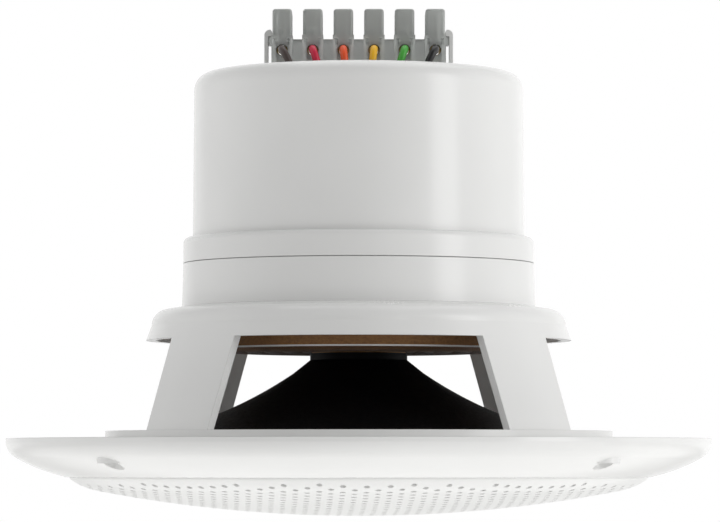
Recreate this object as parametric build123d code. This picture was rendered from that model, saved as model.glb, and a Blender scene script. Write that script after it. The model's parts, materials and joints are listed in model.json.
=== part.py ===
"""Flush ceiling loudspeaker for voice alarm and paging: moulded basket, domed grille, cone driver,
line transformer under a snap-on rear cover, and a six-way terminal strip on top.

Millimetres. +Z points up into the ceiling void and Z = 0 is the face of the flange that lies on the
ceiling. The origin is the centre of the four mounting screws. -Y is the side the inner leads come from.
"""
from build123d import *

import os
from collections import namedtuple
from math import asin, cos, degrees, radians, sin, sqrt, tan

# ---------------------------------------------------------------- driving dimensions
# Clearances shared by everything that fits into something else
FIT = 0.2            # loose fit between moulded parts
SLIP = 0.05          # running gap round a clamp screw
TOUCH_GAP = 0.1      # gap left where a moving piece comes close to a fixed one

# Driver motor, from the axis outwards
FORMER_IN_R = 15.0   # voice-coil former, inside
FORMER_WALL = 0.3
COIL_WALL = 1.05     # winding build-up on the former
MOTOR_GAP = 0.5      # air each side of the coil
MAGNET_R = 40.0
MAGNET_T = 16.0
TOP_PLATE_T = 6.0
PLATE_BORDER = 8.0   # top plate beyond the magnet
BACK_PLATE_T = 5.0
BACK_PLATE_INSET = 2.0
MOTOR_SCREW_COUNT = 4
MOTOR_SCREW_R = 2.0
MOTOR_HEAD_R = 3.4
MOTOR_HEAD_T = 2.6
MOTOR_BOSS_WALL = 1.6
COIL_LENGTH = 9.0

# Basket: band, shoulder, legs
BAND_WALL = 4.4
MOTOR_ROOM = 5.0     # between top plate and band
BAND_HEIGHT = 14.0
BAND_DRAFT = 0.45
SHOULDER_OUT = 12.1  # shoulder edge beyond the band
SHOULDER_HEIGHT = 11.1
SHOULDER_ROUND = 7.5
SHOULDER_FALL = 0.9  # how far the shoulder's top slopes down
LEG_WALL = 3.2
LEG_FLARE = 10.6     # the legs spread by this much over the windows' height
WINDOW_HEIGHT = 29.5
FRONT_WINDOW_HALF = 36.0   # degrees each side of the Y axis
SIDE_WINDOW_HALF = 33.0    # degrees each side of the X axis
WINDOW_DRAFT = 4.7   # degrees that each jamb leans in towards the top
PLATFORM_T = 3.0
PLATFORM_LIP = 4.0   # platform reach inside the motor screws

# Basket: flange
SPIGOT_HEIGHT = 2.4  # ring that drops into the ceiling cut-out
SPIGOT_LEDGE = 2.7   # its width outside the legs
SEAT_WALL = 2.6      # floor that carries the cone's edge
SEAT_INSET = 7.6     # clear opening inside the leg ring
GASKET_RECESS = 1.4  # rim left between gasket and spigot edge
FLOOR_OUT = 12.4     # flat floor from spigot to grille bore
BORE_WALL = 3.0
FLANGE_WIDTH = 19.8  # from grille bore to the rim
FLANGE_DROP = 12.4   # rim face to lip
RIM_WALL = 2.6
RIM_HEIGHT = 1.5
SKIN = 2.6
MOUNT_INSET = 8.0    # mounting screw circle inside the rim
MOUNT_HOLE_R = 2.25
MOUNT_HEAD_R = 3.3
MOUNT_SEAT_T = 3.4   # plastic under the screw head
MOUNT_BOSS_WALL = 1.8
MOUNT_COUNT = 4

# Grille
GRILLE_T = 2.0
GRILLE_BULGE = 8.1   # dome height over its crown's edge
GRILLE_CROWN = 9.5   # the crown ends this far inside the grille's rim
GRILLE_BEND = 24.0   # radius of the turn from crown to rim
GRILLE_TURN = 34.0   # degrees from level where that turn ends
GRILLE_ROUND = 1.3
GRILLE_LEVEL = 0.05  # the rim stands this much inside the lip
GRILLE_SKIRT = 6.0
GRILLE_GAP = 0.7     # dark line round the grille
GRILLE_HOOK = 1.6    # reach of a hook beyond the grille's edge
GRILLE_HOOK_W = 8.0
GRILLE_HOOK_H = 2.0
GRILLE_HOOK_COUNT = 6

# Cone assembly
NECK_GAP = 0.2       # glue line between the cone's collar and the spider
CONE_T = 0.9
CONE_FLARE = 2.2     # how far the flare sags below a straight line
CONE_LAP = 3.0       # glued lap over the surround
THROAT_W = 6.0       # straight throat, out and down from the neck
THROAT_DROP = 4.8
THROAT_WALL_Z = 1.8  # the throat's wall, measured upright
SURROUND_W = 9.0
SURROUND_LAND = 6.8  # glued outer edge
SURROUND_T = 0.6
SURROUND_ROLL = 4.2
GASKET_T = 3.0
CONE_EDGE_RISE = 2.0 # cone edge above the seat face
DUST_CAP_R = 19.0
DUST_CAP_DEPTH = 6.5
DUST_CAP_T = 0.6
DUST_CAP_RIM = 0.8   # width of the cap's glued rim
SPIDER_T = 0.5
SPIDER_WAVE = 0.9    # height of a corrugation each side of its mid-plane
SPIDER_WAVES = 5
SPIDER_GLUE = 4.4    # flat outer edge
SPIDER_RING_T = 7.3
NECK_COLLAR = 1.7    # glued stretch of the cone on the former

# Line transformer
CORE_W = 48.0
CORE_H = 40.0
CORE_STACK = 17.0
LIMB_W = 8.0
WINDOW_W = 8.0
BOBBIN_T = 1.2
BOBBIN_GAP = 0.3
WINDING_BUILD = 6.4
SECONDARY_SHARE_H = 8.0    # height of the secondary on the bobbin
STRAP_T = 1.0
STRAP_FOOT = 9.0
STRAP_W = 12.0
STRAP_SCREW_R = 1.6
STRAP_HEAD_R = 2.8
STRAP_HEAD_T = 2.0
STRAP_SCREW_DEPTH = 4.0

# Rear cover
COVER_WALL = 2.4
COVER_STEP = 3.1     # ring beyond the cover's wall
COVER_RING_H = 8.6
COVER_RING_ROUND = 2.0
COVER_CORNER = 5.5
COVER_DRAFT = 0.35
HEAD_ROOM = 9.4      # transformer strap to the inside of the cover
TONGUE_WALL = 2.6    # ring of the basket that the cover snaps over
TONGUE_H = 5.6
SNAP_BEAD = 0.35
SNAP_BEAD_H = 1.6
SEAL_R = 0.6         # O-ring section
SEAL_UP = 1.6        # O-ring above the seam

# Terminal strip
WAY_COUNT = 6
WAY_PITCH = 10.0
WAY_W = 6.9
WAY_DEPTH = 20.0
WAY_H = 10.8
TOWER_W = 6.4
TOWER_H = 8.8
TOWER_DEPTH = 6.8
TOWER_ROUND = 1.0
WEB_DEPTH = 12.0
WEB_H = 9.2
WEB_UP = 0.5
STRIP_STANDOFF = 1.2
WIRE_HOLE_R = 1.9
WIRE_HOLE_UP = 5.8   # wire hole above the strip's underside
BLOCK_W = 4.2
BLOCK_L = 12.4
BLOCK_BELOW = 2.2    # brass under the wire hole's axis
BLOCK_ABOVE = 3.0
BLOCK_BORE_R = 1.35
SCREW_Y = 4.3        # clamp screws each side of the strip's middle
SCREW_R = 1.45
SCREW_HEAD_R = 1.95
SCREW_HEAD_T = 2.4
SCREW_SLOT = 0.6
SCREW_SHANK = 4.6
DRIVER_HOLE_R = 2.1
OUTER_SCREW_OPEN = 1.6     # supply-side screws stand open by this much
END_LUG_L = 1.05
END_LUG_H = 2.6
END_LUG_DEPTH = 6.0
ARM_T = 1.3
ARM_GAP = 0.1
ARM_DEPTH = 7.0
ARM_HOOK_H = 2.2
ARM_ROUND = 1.2
RIB_W = 2.0
RIB_Y = 8.0

# Leads
LEAD_R = 1.2
CORE_WIRE_R = 0.6
LEAD_COLOURS = ("brown", "red", "orange", "yellow", "green", "black")
LEAD_GATHER = 1.0    # the leads stand this much closer in the grommet than in the strip
LEAD_START_PITCH = 5.0
LEAD_Y = 17.5        # grommet line in front of the strip's middle
LEAD_BEND_R = 3.4
LEAD_LEAN_R = 5.0
GROMMET_LIP = 1.0
GROMMET_EDGE = 1.4
TINSEL_R = 0.6
TAG_BOARD = (26.0, 8.0, 1.6)
TAG_X = 8.0
TAG_R = 2.0
TAG_T = 0.5
HOOKUP_R = 0.9
HOOKUP_X = 4.0

# ---------------------------------------------------------------- places worked out from them
# Radii of the motor and the basket's upper half
former_out_r = FORMER_IN_R + FORMER_WALL
coil_out_r = former_out_r + COIL_WALL
pole_r = FORMER_IN_R - MOTOR_GAP
gap_out_r = coil_out_r + MOTOR_GAP
plate_r = MAGNET_R + PLATE_BORDER
motor_screw_circle = MAGNET_R + PLATE_BORDER / 2
motor_boss_r = MOTOR_SCREW_R + MOTOR_BOSS_WALL
band_in_r = plate_r + MOTOR_ROOM
band_r = band_in_r + BAND_WALL
tongue_r = band_in_r + TONGUE_WALL
cover_ring_in_r = tongue_r + FIT
cover_r = band_r - COVER_STEP
shoulder_r = band_r + SHOULDER_OUT
platform_in_r = motor_screw_circle - motor_boss_r - PLATFORM_LIP
spider_ring_in_r = motor_screw_circle + motor_boss_r + FIT
spider_ring_r = spider_ring_in_r + SPIDER_GLUE

# Heights, from the ceiling face upwards
lintel_z = SPIGOT_HEIGHT + WINDOW_HEIGHT
shoulder_z = lintel_z + SHOULDER_HEIGHT
seam_z = shoulder_z + BAND_HEIGHT
platform_top_z = shoulder_z - PLATFORM_T - 0.3
platform_z = platform_top_z - PLATFORM_T
spider_z = platform_z - SPIDER_RING_T - SPIDER_T
neck_z = spider_z - SPIDER_WAVE
top_plate_z = platform_top_z + TOP_PLATE_T
magnet_z = top_plate_z + MAGNET_T
back_plate_z = magnet_z + BACK_PLATE_T
core_top_z = back_plate_z + CORE_H
cover_in_z = core_top_z + STRAP_T + HEAD_ROOM
cover_z = cover_in_z + COVER_WALL
strip_z = cover_z + STRIP_STANDOFF
wire_z = strip_z + WIRE_HOLE_UP
way_top_z = strip_z + WAY_H
tower_top_z = way_top_z + TOWER_H

# Radii and heights of the lower half
lead_pitch = WAY_PITCH - LEAD_GATHER
leg_lean = LEG_FLARE / WINDOW_HEIGHT
leg_base_r = shoulder_r + LEG_FLARE
spigot_r = leg_base_r + SPIGOT_LEDGE
seat_in_r = leg_base_r - SEAT_INSET
gasket_r = spigot_r - GASKET_RECESS
bore_r = spigot_r + FLOOR_OUT
flange_r = bore_r + FLANGE_WIDTH
mount_circle = flange_r - MOUNT_INSET
seat_z = SPIGOT_HEIGHT - SEAT_WALL
floor_z = -SEAT_WALL
lip_z = -FLANGE_DROP
grille_r = bore_r - GRILLE_GAP
grille_groove_r = grille_r + GRILLE_HOOK + FIT
grille_crown_r = grille_r - GRILLE_CROWN
grille_ball_r = (grille_crown_r**2 + GRILLE_BULGE**2) / (2 * GRILLE_BULGE)
grille_slope = asin(grille_crown_r / grille_ball_r)
grille_rim_z = lip_z + GRILLE_LEVEL
grille_skirt_z = grille_rim_z + GRILLE_SKIRT
grille_hook_z = grille_skirt_z - GRILLE_HOOK_H
surround_r = gasket_r - FIT
cone_r = surround_r - SURROUND_LAND - SURROUND_W
cone_edge_z = seat_z + CONE_EDGE_RISE
cone_neck_z = neck_z - NECK_GAP - NECK_COLLAR

# ---------------------------------------------------------------- helpers
Via = namedtuple("Via", "mid end")


def at(point):
    """A point (radius, height) on the XZ plane."""
    return (point[0], 0, point[1])


def outline(start, *steps):
    """Closed face on the XZ plane. A step is a point to run straight to, or Via(mid, end) for an arc."""
    edges, here = [], start
    for step in steps + (start,):
        arc = isinstance(step, Via)
        end = step.end if arc else step
        if abs(end[0] - here[0]) + abs(end[1] - here[1]) > 1e-6:
            edges.append(ThreePointArc(at(here), at(step.mid), at(end)) if arc else Line(at(here), at(end)))
        here = end
    return make_face(edges)


def turned(start, *steps):
    """Solid of revolution round Z from a closed outline."""
    return revolve(outline(start, *steps), Axis.Z)


def tube(out_r, in_r, low, high):
    """Plain ring between two heights."""
    ring = Cylinder(out_r, high - low) - Cylinder(in_r, high - low)
    return Pos(0, 0, (low + high) / 2) * ring


def rod(radius, low, high, x=0.0, y=0.0):
    """Upright cylinder between two heights."""
    return Pos(x, y, (low + high) / 2) * Cylinder(radius, high - low)


def block(size_x, size_y, low, high, x=0.0, y=0.0):
    """Box between two heights, centred on x and y."""
    return Pos(x, y, (low + high) / 2) * Box(size_x, size_y, high - low)


def bowed(a, b, bow):
    """Point midway between a and b, pushed sideways by bow (positive to the left of a-b)."""
    run_x, run_z = b[0] - a[0], b[1] - a[1]
    length = sqrt(run_x**2 + run_z**2)
    return ((a[0] + b[0]) / 2 - run_z / length * bow, (a[1] + b[1]) / 2 + run_x / length * bow)


def cap_point(radius, rise):
    """Point halfway out on a spherical cap of a given radius and rise, measured from its apex."""
    ball = (radius**2 + rise**2) / (2 * rise)
    return (radius / 2, ball - sqrt(ball**2 - radius**2 / 4))


def around(count, first, radius):
    """Places evenly spaced on a circle, the first one at an angle in degrees."""
    turns = (radians(first + k * 360 / count) for k in range(count))
    return [(radius * cos(t), radius * sin(t)) for t in turns]


def wire(radius, points, radii):
    """Round wire along straight runs joined by tangent arcs."""
    path = FilletPolyline(*points, radius=radii)
    section = Plane(path @ 0, z_dir=path % 0) * Circle(radius)
    return sweep(section, path=path)


def save(name, shape):
    """Write one node."""
    export_step(shape, f"parts/{name}.step")


# ---------------------------------------------------------------- basket
def flange_skin_z(radius):
    """Underside of the flange at a radius, as the chord of its outer arc."""
    knee_r, knee_z = flange_knee()
    return knee_z + (lip_z - knee_z) * (knee_r - radius) / (knee_r - bore_r)


def flange_knee():
    """Where the rim's round turns into the flange's flatter face."""
    return (flange_r - 3.4, lip_z + 6.0)


def basket():
    """One moulding: flange, four legs, shoulder, band, and the tongue that the cover snaps over."""
    knee = flange_knee()
    lip = (bore_r + 0.9, lip_z)
    inner_knee = (knee[0] - SKIN / 2, knee[1] + SKIN * 0.85)
    inner_end = (bore_r + BORE_WALL, lip_z + SKIN + 0.4)
    flange = turned(
        (seat_in_r, SPIGOT_HEIGHT),
        (spigot_r, SPIGOT_HEIGHT),
        (spigot_r, 0),
        (bore_r + BORE_WALL, 0),
        inner_end,
        Via(bowed(inner_end, inner_knee, -0.5), inner_knee),
        Via(bowed(inner_knee, (flange_r - RIM_WALL, -RIM_HEIGHT), -0.4), (flange_r - RIM_WALL, -RIM_HEIGHT)),
        (flange_r - RIM_WALL, 0),
        (flange_r, 0),
        (flange_r, -RIM_HEIGHT),
        Via(bowed((flange_r, -RIM_HEIGHT), knee, 0.75), knee),
        Via(bowed(knee, lip, 0.6), lip),
        Via((bore_r + 0.45, lip_z - 0.15), (bore_r, lip_z + 0.8)),
        (bore_r, grille_hook_z),
        (grille_groove_r, grille_hook_z),
        (grille_groove_r, grille_skirt_z + FIT),
        (bore_r, grille_skirt_z + FIT),
        (bore_r, floor_z),
        (gasket_r, floor_z),
        (gasket_r, seat_z),
        (seat_in_r, seat_z),
    )
    round_start = (shoulder_r - (SHOULDER_HEIGHT - SHOULDER_ROUND + 1.2) * leg_lean,
                   lintel_z + SHOULDER_HEIGHT - SHOULDER_ROUND + 1.2)
    round_end = (round_start[0] - SHOULDER_ROUND + 1.6, shoulder_z - SHOULDER_FALL)
    inner_top_z = platform_top_z
    base_z = (SPIGOT_HEIGHT + seat_z) / 2
    base_r = leg_base_r + (SPIGOT_HEIGHT - base_z) * leg_lean
    body = turned(
        (base_r, base_z),
        round_start,
        Via(bowed(round_start, round_end, -1.75), round_end),
        (band_r + BAND_DRAFT, shoulder_z),
        (band_r, seam_z),
        (tongue_r, seam_z),
        (tongue_r, seam_z + SEAL_UP - SEAL_R),
        (tongue_r - SEAL_R * 2 + FIT, seam_z + SEAL_UP - SEAL_R),
        (tongue_r - SEAL_R * 2 + FIT, seam_z + SEAL_UP + SEAL_R),
        (tongue_r, seam_z + SEAL_UP + SEAL_R),
        (tongue_r, snap_z() - SNAP_BEAD_H / 2),
        (tongue_r + SNAP_BEAD, snap_z()),
        (tongue_r, snap_z() + SNAP_BEAD_H / 2),
        (tongue_r, seam_z + TONGUE_H),
        (band_in_r, seam_z + TONGUE_H),
        (band_in_r, platform_top_z),
        (platform_in_r, platform_top_z),
        (platform_in_r, platform_z),
        (band_r, platform_z),
        (round_start[0] - LEG_WALL, platform_z),
        (base_r - LEG_WALL, base_z),
    )
    solid = flange + body
    for x, y in around(MOUNT_COUNT, 45, mount_circle):
        solid += rod(MOUNT_HEAD_R + MOUNT_BOSS_WALL, flange_skin_z(mount_circle), 0, x, y)
    for x, y in around(MOTOR_SCREW_COUNT, 45, motor_screw_circle):
        solid += rod(motor_boss_r, spider_z + SPIDER_WAVE * 2 + 1.0, platform_top_z, x, y)
    for x, y in around(MOUNT_COUNT, 45, mount_circle):
        solid -= rod(MOUNT_HEAD_R, lip_z, -MOUNT_SEAT_T, x, y)
        solid -= rod(MOUNT_HOLE_R, lip_z, 1, x, y)
    for x, y in around(MOTOR_SCREW_COUNT, 45, motor_screw_circle):
        solid -= rod(MOTOR_SCREW_R, motor_screw_tip_z(), platform_top_z + 1, x, y)
    for turn, half in ((0, SIDE_WINDOW_HALF), (90, FRONT_WINDOW_HALF), (180, SIDE_WINDOW_HALF),
                       (270, FRONT_WINDOW_HALF)):
        solid -= window(turn, half)
    solid -= block(HOOKUP_X * 2 + HOOKUP_R * 4, HOOKUP_R * 4, platform_z - 1, platform_top_z + 1,
                   y=hookup_y())
    solid -= tag_pocket()
    return solid


def window(turn, half):
    """Wedge that opens one window between two legs."""
    reach = spigot_r + 20
    side = reach * tan(radians(half))
    low, high = SPIGOT_HEIGHT, lintel_z
    lean = (high - low) * tan(radians(WINDOW_DRAFT)) / sin(radians(half))
    wedges = []
    for level, start in ((low, 0.0), (high, lean)):
        narrow = side - start * tan(radians(half))
        wedges.append(Pos(0, 0, level) * make_face([
            Line((start, 0), (reach, -narrow)), Line((reach, -narrow), (reach, narrow)),
            Line((reach, narrow), (start, 0))]))
    return Rot(0, 0, turn) * loft(wedges, ruled=True)


def snap_z():
    """Height of the snap bead."""
    return seam_z + TONGUE_H - SNAP_BEAD_H


def motor_screw_tip_z():
    """Lower end of the motor screws, inside their bosses."""
    return spider_z + SPIDER_WAVE * 2 + 2.2


# ---------------------------------------------------------------- grille
def grille_side(depth):
    """Crown, bend and rim of the grille's face, depth inside its outer skin, as outline steps from the
    axis to the rim."""
    turn = radians(GRILLE_TURN)
    bend = GRILLE_BEND - depth
    crown_r, crown_z = grille_crown_r - depth * sin(grille_slope), grille_crown_z() + depth * cos(grille_slope)

    def at(angle):
        return (crown_r + bend * (sin(angle) - sin(grille_slope)), crown_z + bend * (cos(grille_slope) - cos(angle)))

    ball = grille_ball_r - depth
    half = grille_slope / 2
    crown_mid = (ball * sin(half), grille_apex_z() + depth + ball * (1 - cos(half)))
    return crown_mid, (crown_r, crown_z), at((turn + grille_slope) / 2), at(turn)


def grille_crown_z():
    """Height of the crown's edge, worked back from the rim."""
    turn = radians(GRILLE_TURN)
    return grille_rim_z - GRILLE_ROUND * cos(turn) - GRILLE_BEND * (cos(grille_slope) - cos(turn))


def grille_apex_z():
    """Lowest point of the dome."""
    return grille_crown_z() - GRILLE_BULGE


def grille():
    """Domed front with a turned edge, a skirt into the flange's bore and hooks in the bore's groove."""
    inner = grille_r - GRILLE_T
    crown_mid, crown, bend_mid, bend_end = grille_side(0)
    in_crown_mid, in_crown, in_bend_mid, in_bend_end = grille_side(GRILLE_T)
    mid_turn = radians((GRILLE_TURN + 90) / 2)
    rim_mid = (bend_end[0] + GRILLE_ROUND * (sin(mid_turn) - sin(radians(GRILLE_TURN))),
               grille_rim_z - GRILLE_ROUND * cos(mid_turn))
    rim_r = bend_end[0] + GRILLE_ROUND * (1 - sin(radians(GRILLE_TURN)))
    solid = turned(
        (0, grille_apex_z()),
        Via(crown_mid, crown),
        Via(bend_mid, bend_end),
        Via(rim_mid, (rim_r, grille_rim_z)),
        (rim_r, grille_skirt_z),
        (inner, grille_skirt_z),
        (inner, in_bend_end[1] + 0.5),
        in_bend_end,
        Via(in_bend_mid, in_crown),
        Via(in_crown_mid, (0, grille_apex_z() + GRILLE_T)),
    )
    length = GRILLE_HOOK + GRILLE_T
    hook = block(length, GRILLE_HOOK_W, grille_hook_z, grille_skirt_z, inner + length / 2 + 0.3)
    hook &= rod(grille_r + GRILLE_HOOK, grille_hook_z, grille_skirt_z)
    for k in range(GRILLE_HOOK_COUNT):
        solid += Rot(0, 0, k * 360 / GRILLE_HOOK_COUNT) * hook
    return solid


# ---------------------------------------------------------------- cone assembly
def surround():
    """Half-roll edge: inner lap under the cone, roll, and flat outer land on the seat."""
    land_in = surround_r - SURROUND_LAND
    low, high = seat_z - SURROUND_T, seat_z
    roll_mid = (cone_r + land_in) / 2
    return turned(
        (surround_r, high),
        (surround_r, low),
        (land_in, low),
        Via((roll_mid, low - SURROUND_ROLL), (cone_r, cone_edge_z - CONE_T - SURROUND_T)),
        (cone_r - CONE_LAP, cone_edge_z - CONE_T - SURROUND_T + 1.2),
        (cone_r - CONE_LAP, cone_edge_z - CONE_T + 1.2),
        (cone_r, cone_edge_z - CONE_T),
        Via((roll_mid, high - SURROUND_ROLL), (land_in, high)),
    )


def gasket():
    """Ring that clamps the surround's outer land."""
    low, high = seat_z - SURROUND_T - GASKET_T, seat_z - SURROUND_T
    return tube(surround_r, surround_r - SURROUND_LAND + 0.3, low, high)


def throat():
    """Where the cone's straight throat turns into its flare, on the rear face."""
    return (former_out_r + THROAT_W, cone_neck_z - THROAT_DROP)


def cone():
    """Flared cone with a collar glued to the former and a lap over the surround."""
    edge = (cone_r, cone_edge_z)
    low_edge = (cone_r, cone_edge_z - CONE_T)
    low_throat = (throat()[0], throat_front_z(throat()[0]))
    lap = (cone_r - CONE_LAP, cone_edge_z - CONE_T + 1.2)
    return turned(
        (former_out_r, cone_neck_z + NECK_COLLAR),
        (former_out_r + 0.6, cone_neck_z + NECK_COLLAR),
        (former_out_r + 0.6, cone_neck_z - 0.5),
        throat(),
        Via(bowed(throat(), edge, -CONE_FLARE), edge),
        low_edge,
        lap,
        Via(bowed(lap, low_throat, CONE_FLARE - 0.3), low_throat),
        (former_out_r, throat_front_z(former_out_r)),
    )


def throat_front_z(radius):
    """Height of the throat's front face at a radius."""
    top_z = cone_neck_z - THROAT_WALL_Z
    low_z = throat()[1] - CONE_T - 0.2
    return top_z + (low_z - top_z) * (radius - former_out_r) / THROAT_W


def dust_cap():
    """Shallow cap over the coil, its rim seated on the front of the cone's throat."""
    inner_r = DUST_CAP_R - DUST_CAP_RIM
    rim_z = throat_front_z(DUST_CAP_R)
    inner_z = throat_front_z(inner_r)
    apex_z = rim_z - DUST_CAP_DEPTH
    mid_r, mid_rise = cap_point(DUST_CAP_R, DUST_CAP_DEPTH)
    inner_mid_r, inner_rise = cap_point(inner_r, inner_z - apex_z - DUST_CAP_T)
    return turned(
        (0, apex_z),
        Via((mid_r, apex_z + mid_rise), (DUST_CAP_R, rim_z)),
        (inner_r, inner_z),
        Via((inner_mid_r, apex_z + DUST_CAP_T + inner_rise), (0, apex_z + DUST_CAP_T)),
    )


def coil_former():
    """Thin tube that carries the winding."""
    return tube(former_out_r, FORMER_IN_R, throat_front_z(former_out_r), coil_z() + COIL_LENGTH / 2)


def coil_z():
    """Middle of the winding, in the middle of the top plate."""
    return platform_top_z + TOP_PLATE_T / 2


def coil_winding():
    """Copper winding, overhung in the gap."""
    return tube(coil_out_r, former_out_r, coil_z() - COIL_LENGTH / 2, coil_z() + COIL_LENGTH / 2)


def spider():
    """Corrugated centring disc between the former and its landing ring."""
    start_r = former_out_r
    wave_r = spider_ring_in_r
    pitch = (wave_r - start_r - 2.0) / SPIDER_WAVES
    top, bottom = [], []
    radius = start_r + 1.0
    top.append((start_r, spider_z + SPIDER_T))
    top.append((radius, spider_z + SPIDER_T))
    for k in range(SPIDER_WAVES * 2):
        bump = SPIDER_WAVE if k % 2 else -SPIDER_WAVE
        end = radius + pitch / 2
        top.append(Via(((radius + end) / 2, spider_z + SPIDER_T + bump), (end, spider_z + SPIDER_T)))
        bottom.append((radius, Via(((radius + end) / 2, spider_z + bump), (radius, spider_z))))
        radius = end
    top.append((spider_ring_r, spider_z + SPIDER_T))
    back = [(spider_ring_r, spider_z), (radius, spider_z)]
    back += [arc for _, arc in reversed(bottom)]
    back.append((start_r, spider_z))
    return turned(*top, *back)


def spider_ring():
    """Pressed fibre ring that the spider is glued to, notched for the hook-up wires."""
    ring = tube(spider_ring_r, spider_ring_in_r, spider_z + SPIDER_T, platform_z)
    return ring - block(HOOKUP_X * 2 + HOOKUP_R * 4, 20, spider_z, platform_z + 1, y=hookup_y())


# ---------------------------------------------------------------- motor
def top_plate():
    """Steel washer round the gap, drilled for the motor screws."""
    plate = tube(plate_r, gap_out_r, platform_top_z, top_plate_z)
    for x, y in around(MOTOR_SCREW_COUNT, 45, motor_screw_circle):
        plate -= rod(MOTOR_SCREW_R, platform_top_z - 1, top_plate_z + 1, x, y)
    return plate


def magnet():
    """Ferrite ring."""
    return tube(MAGNET_R, gap_out_r + 4, top_plate_z, magnet_z)


def back_plate():
    """Back plate and pole piece in one, with tapped holes for the transformer strap."""
    plate_out = MAGNET_R - BACK_PLATE_INSET
    piece = rod(plate_out, magnet_z, back_plate_z) + rod(pole_r, platform_top_z, magnet_z)
    for x in (-strap_screw_x(), strap_screw_x()):
        piece -= rod(STRAP_SCREW_R, back_plate_z - STRAP_SCREW_DEPTH, back_plate_z + 1, x)
    return chamfer(piece.edges().filter_by(GeomType.CIRCLE).group_by(Axis.Z)[-1].sort_by(SortBy.RADIUS)[-1], 0.8)


def motor_screws():
    """Pan-head screws through the top plate into the basket's bosses."""
    screws = []
    for x, y in around(MOTOR_SCREW_COUNT, 45, motor_screw_circle):
        head = rod(MOTOR_HEAD_R, top_plate_z, top_plate_z + MOTOR_HEAD_T, x, y)
        head = fillet(head.edges().group_by(Axis.Z)[-1], 0.9)
        screw = head + rod(MOTOR_SCREW_R, motor_screw_tip_z(), top_plate_z, x, y)
        for size in ((3.4, 0.9), (0.9, 3.4)):
            screw -= block(*size, top_plate_z + MOTOR_HEAD_T - 1.4, top_plate_z + MOTOR_HEAD_T + 1, x, y)
        screws.append(screw)
    return Compound(children=screws)


# ---------------------------------------------------------------- transformer
def core_window_h():
    """Height of the two windows in the core."""
    return CORE_H - 2 * LIMB_W


def core_stack():
    """Laminated core with two windows."""
    core = block(CORE_W, CORE_STACK, back_plate_z, core_top_z)
    low = back_plate_z + LIMB_W
    for side in (-1, 1):
        x = side * (limb_half() + WINDOW_W / 2)
        core -= block(WINDOW_W, CORE_STACK + 2, low, low + core_window_h(), x)
    return core


def limb_half():
    """Half the width of the core's centre limb."""
    return CORE_W / 2 - LIMB_W - WINDOW_W


def bobbin():
    """Moulded bobbin: tube round the centre limb and two flanges."""
    low = back_plate_z + LIMB_W
    high = low + core_window_h()
    in_x, in_y = limb_half() * 2, CORE_STACK
    tube_x, tube_y = in_x + 2 * BOBBIN_T, in_y + 2 * BOBBIN_T
    flange_x, flange_y = in_x + 2 * (WINDOW_W - BOBBIN_GAP), in_y + 2 * (BOBBIN_T + WINDING_BUILD + 0.8)
    shape = block(tube_x, tube_y, low, high)
    shape += block(flange_x, flange_y, low, low + BOBBIN_T)
    shape += block(flange_x, flange_y, high - BOBBIN_T, high)
    return shape - block(in_x, in_y, low - 1, high + 1)


def winding(low, high):
    """Wound layer between two heights, with rounded corners."""
    in_x, in_y = limb_half() * 2 + 2 * BOBBIN_T, CORE_STACK + 2 * BOBBIN_T
    out_x = limb_half() * 2 + 2 * (WINDOW_W - BOBBIN_GAP) - 1.0
    out_y = in_y + 2 * WINDING_BUILD
    shape = fillet(block(out_x, out_y, low, high).edges().filter_by(Axis.Z), 2.5)
    return shape - block(in_x, in_y, low - 1, high + 1)


def primary_winding():
    """Upper, thicker winding."""
    low = back_plate_z + LIMB_W + BOBBIN_T + SECONDARY_SHARE_H
    return winding(low + 0.4, back_plate_z + LIMB_W + core_window_h() - BOBBIN_T)


def secondary_winding():
    """Lower winding that feeds the driver."""
    low = back_plate_z + LIMB_W + BOBBIN_T
    return winding(low, low + SECONDARY_SHARE_H)


def strap_screw_x():
    """Strap screws from the middle."""
    return CORE_W / 2 + STRAP_T + STRAP_FOOT / 2


def core_strap():
    """Steel strap over the core with a foot at each side."""
    outer = CORE_W / 2 + STRAP_T
    strap = block(outer * 2, STRAP_W, back_plate_z, core_top_z + STRAP_T)
    strap -= block(CORE_W, STRAP_W + 2, back_plate_z - 1, core_top_z)
    for side in (-1, 1):
        x = side * (outer + STRAP_FOOT / 2)
        foot = block(STRAP_FOOT, STRAP_W, back_plate_z, back_plate_z + STRAP_T, x)
        strap += foot - rod(STRAP_SCREW_R, back_plate_z - 1, back_plate_z + STRAP_T + 1, x)
    return strap


def strap_screws():
    """Two short screws into the back plate."""
    screws = []
    seat = back_plate_z + STRAP_T
    for x in (-strap_screw_x(), strap_screw_x()):
        head = rod(STRAP_HEAD_R, seat, seat + STRAP_HEAD_T, x)
        head = fillet(head.edges().group_by(Axis.Z)[-1], 0.7)
        screw = head + rod(STRAP_SCREW_R, back_plate_z - STRAP_SCREW_DEPTH + 0.5, seat, x)
        screws.append(screw - block(STRAP_HEAD_R * 2 + 1, 0.8, seat + STRAP_HEAD_T - 1, seat + STRAP_HEAD_T + 1, x))
    return Compound(children=screws)


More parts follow.
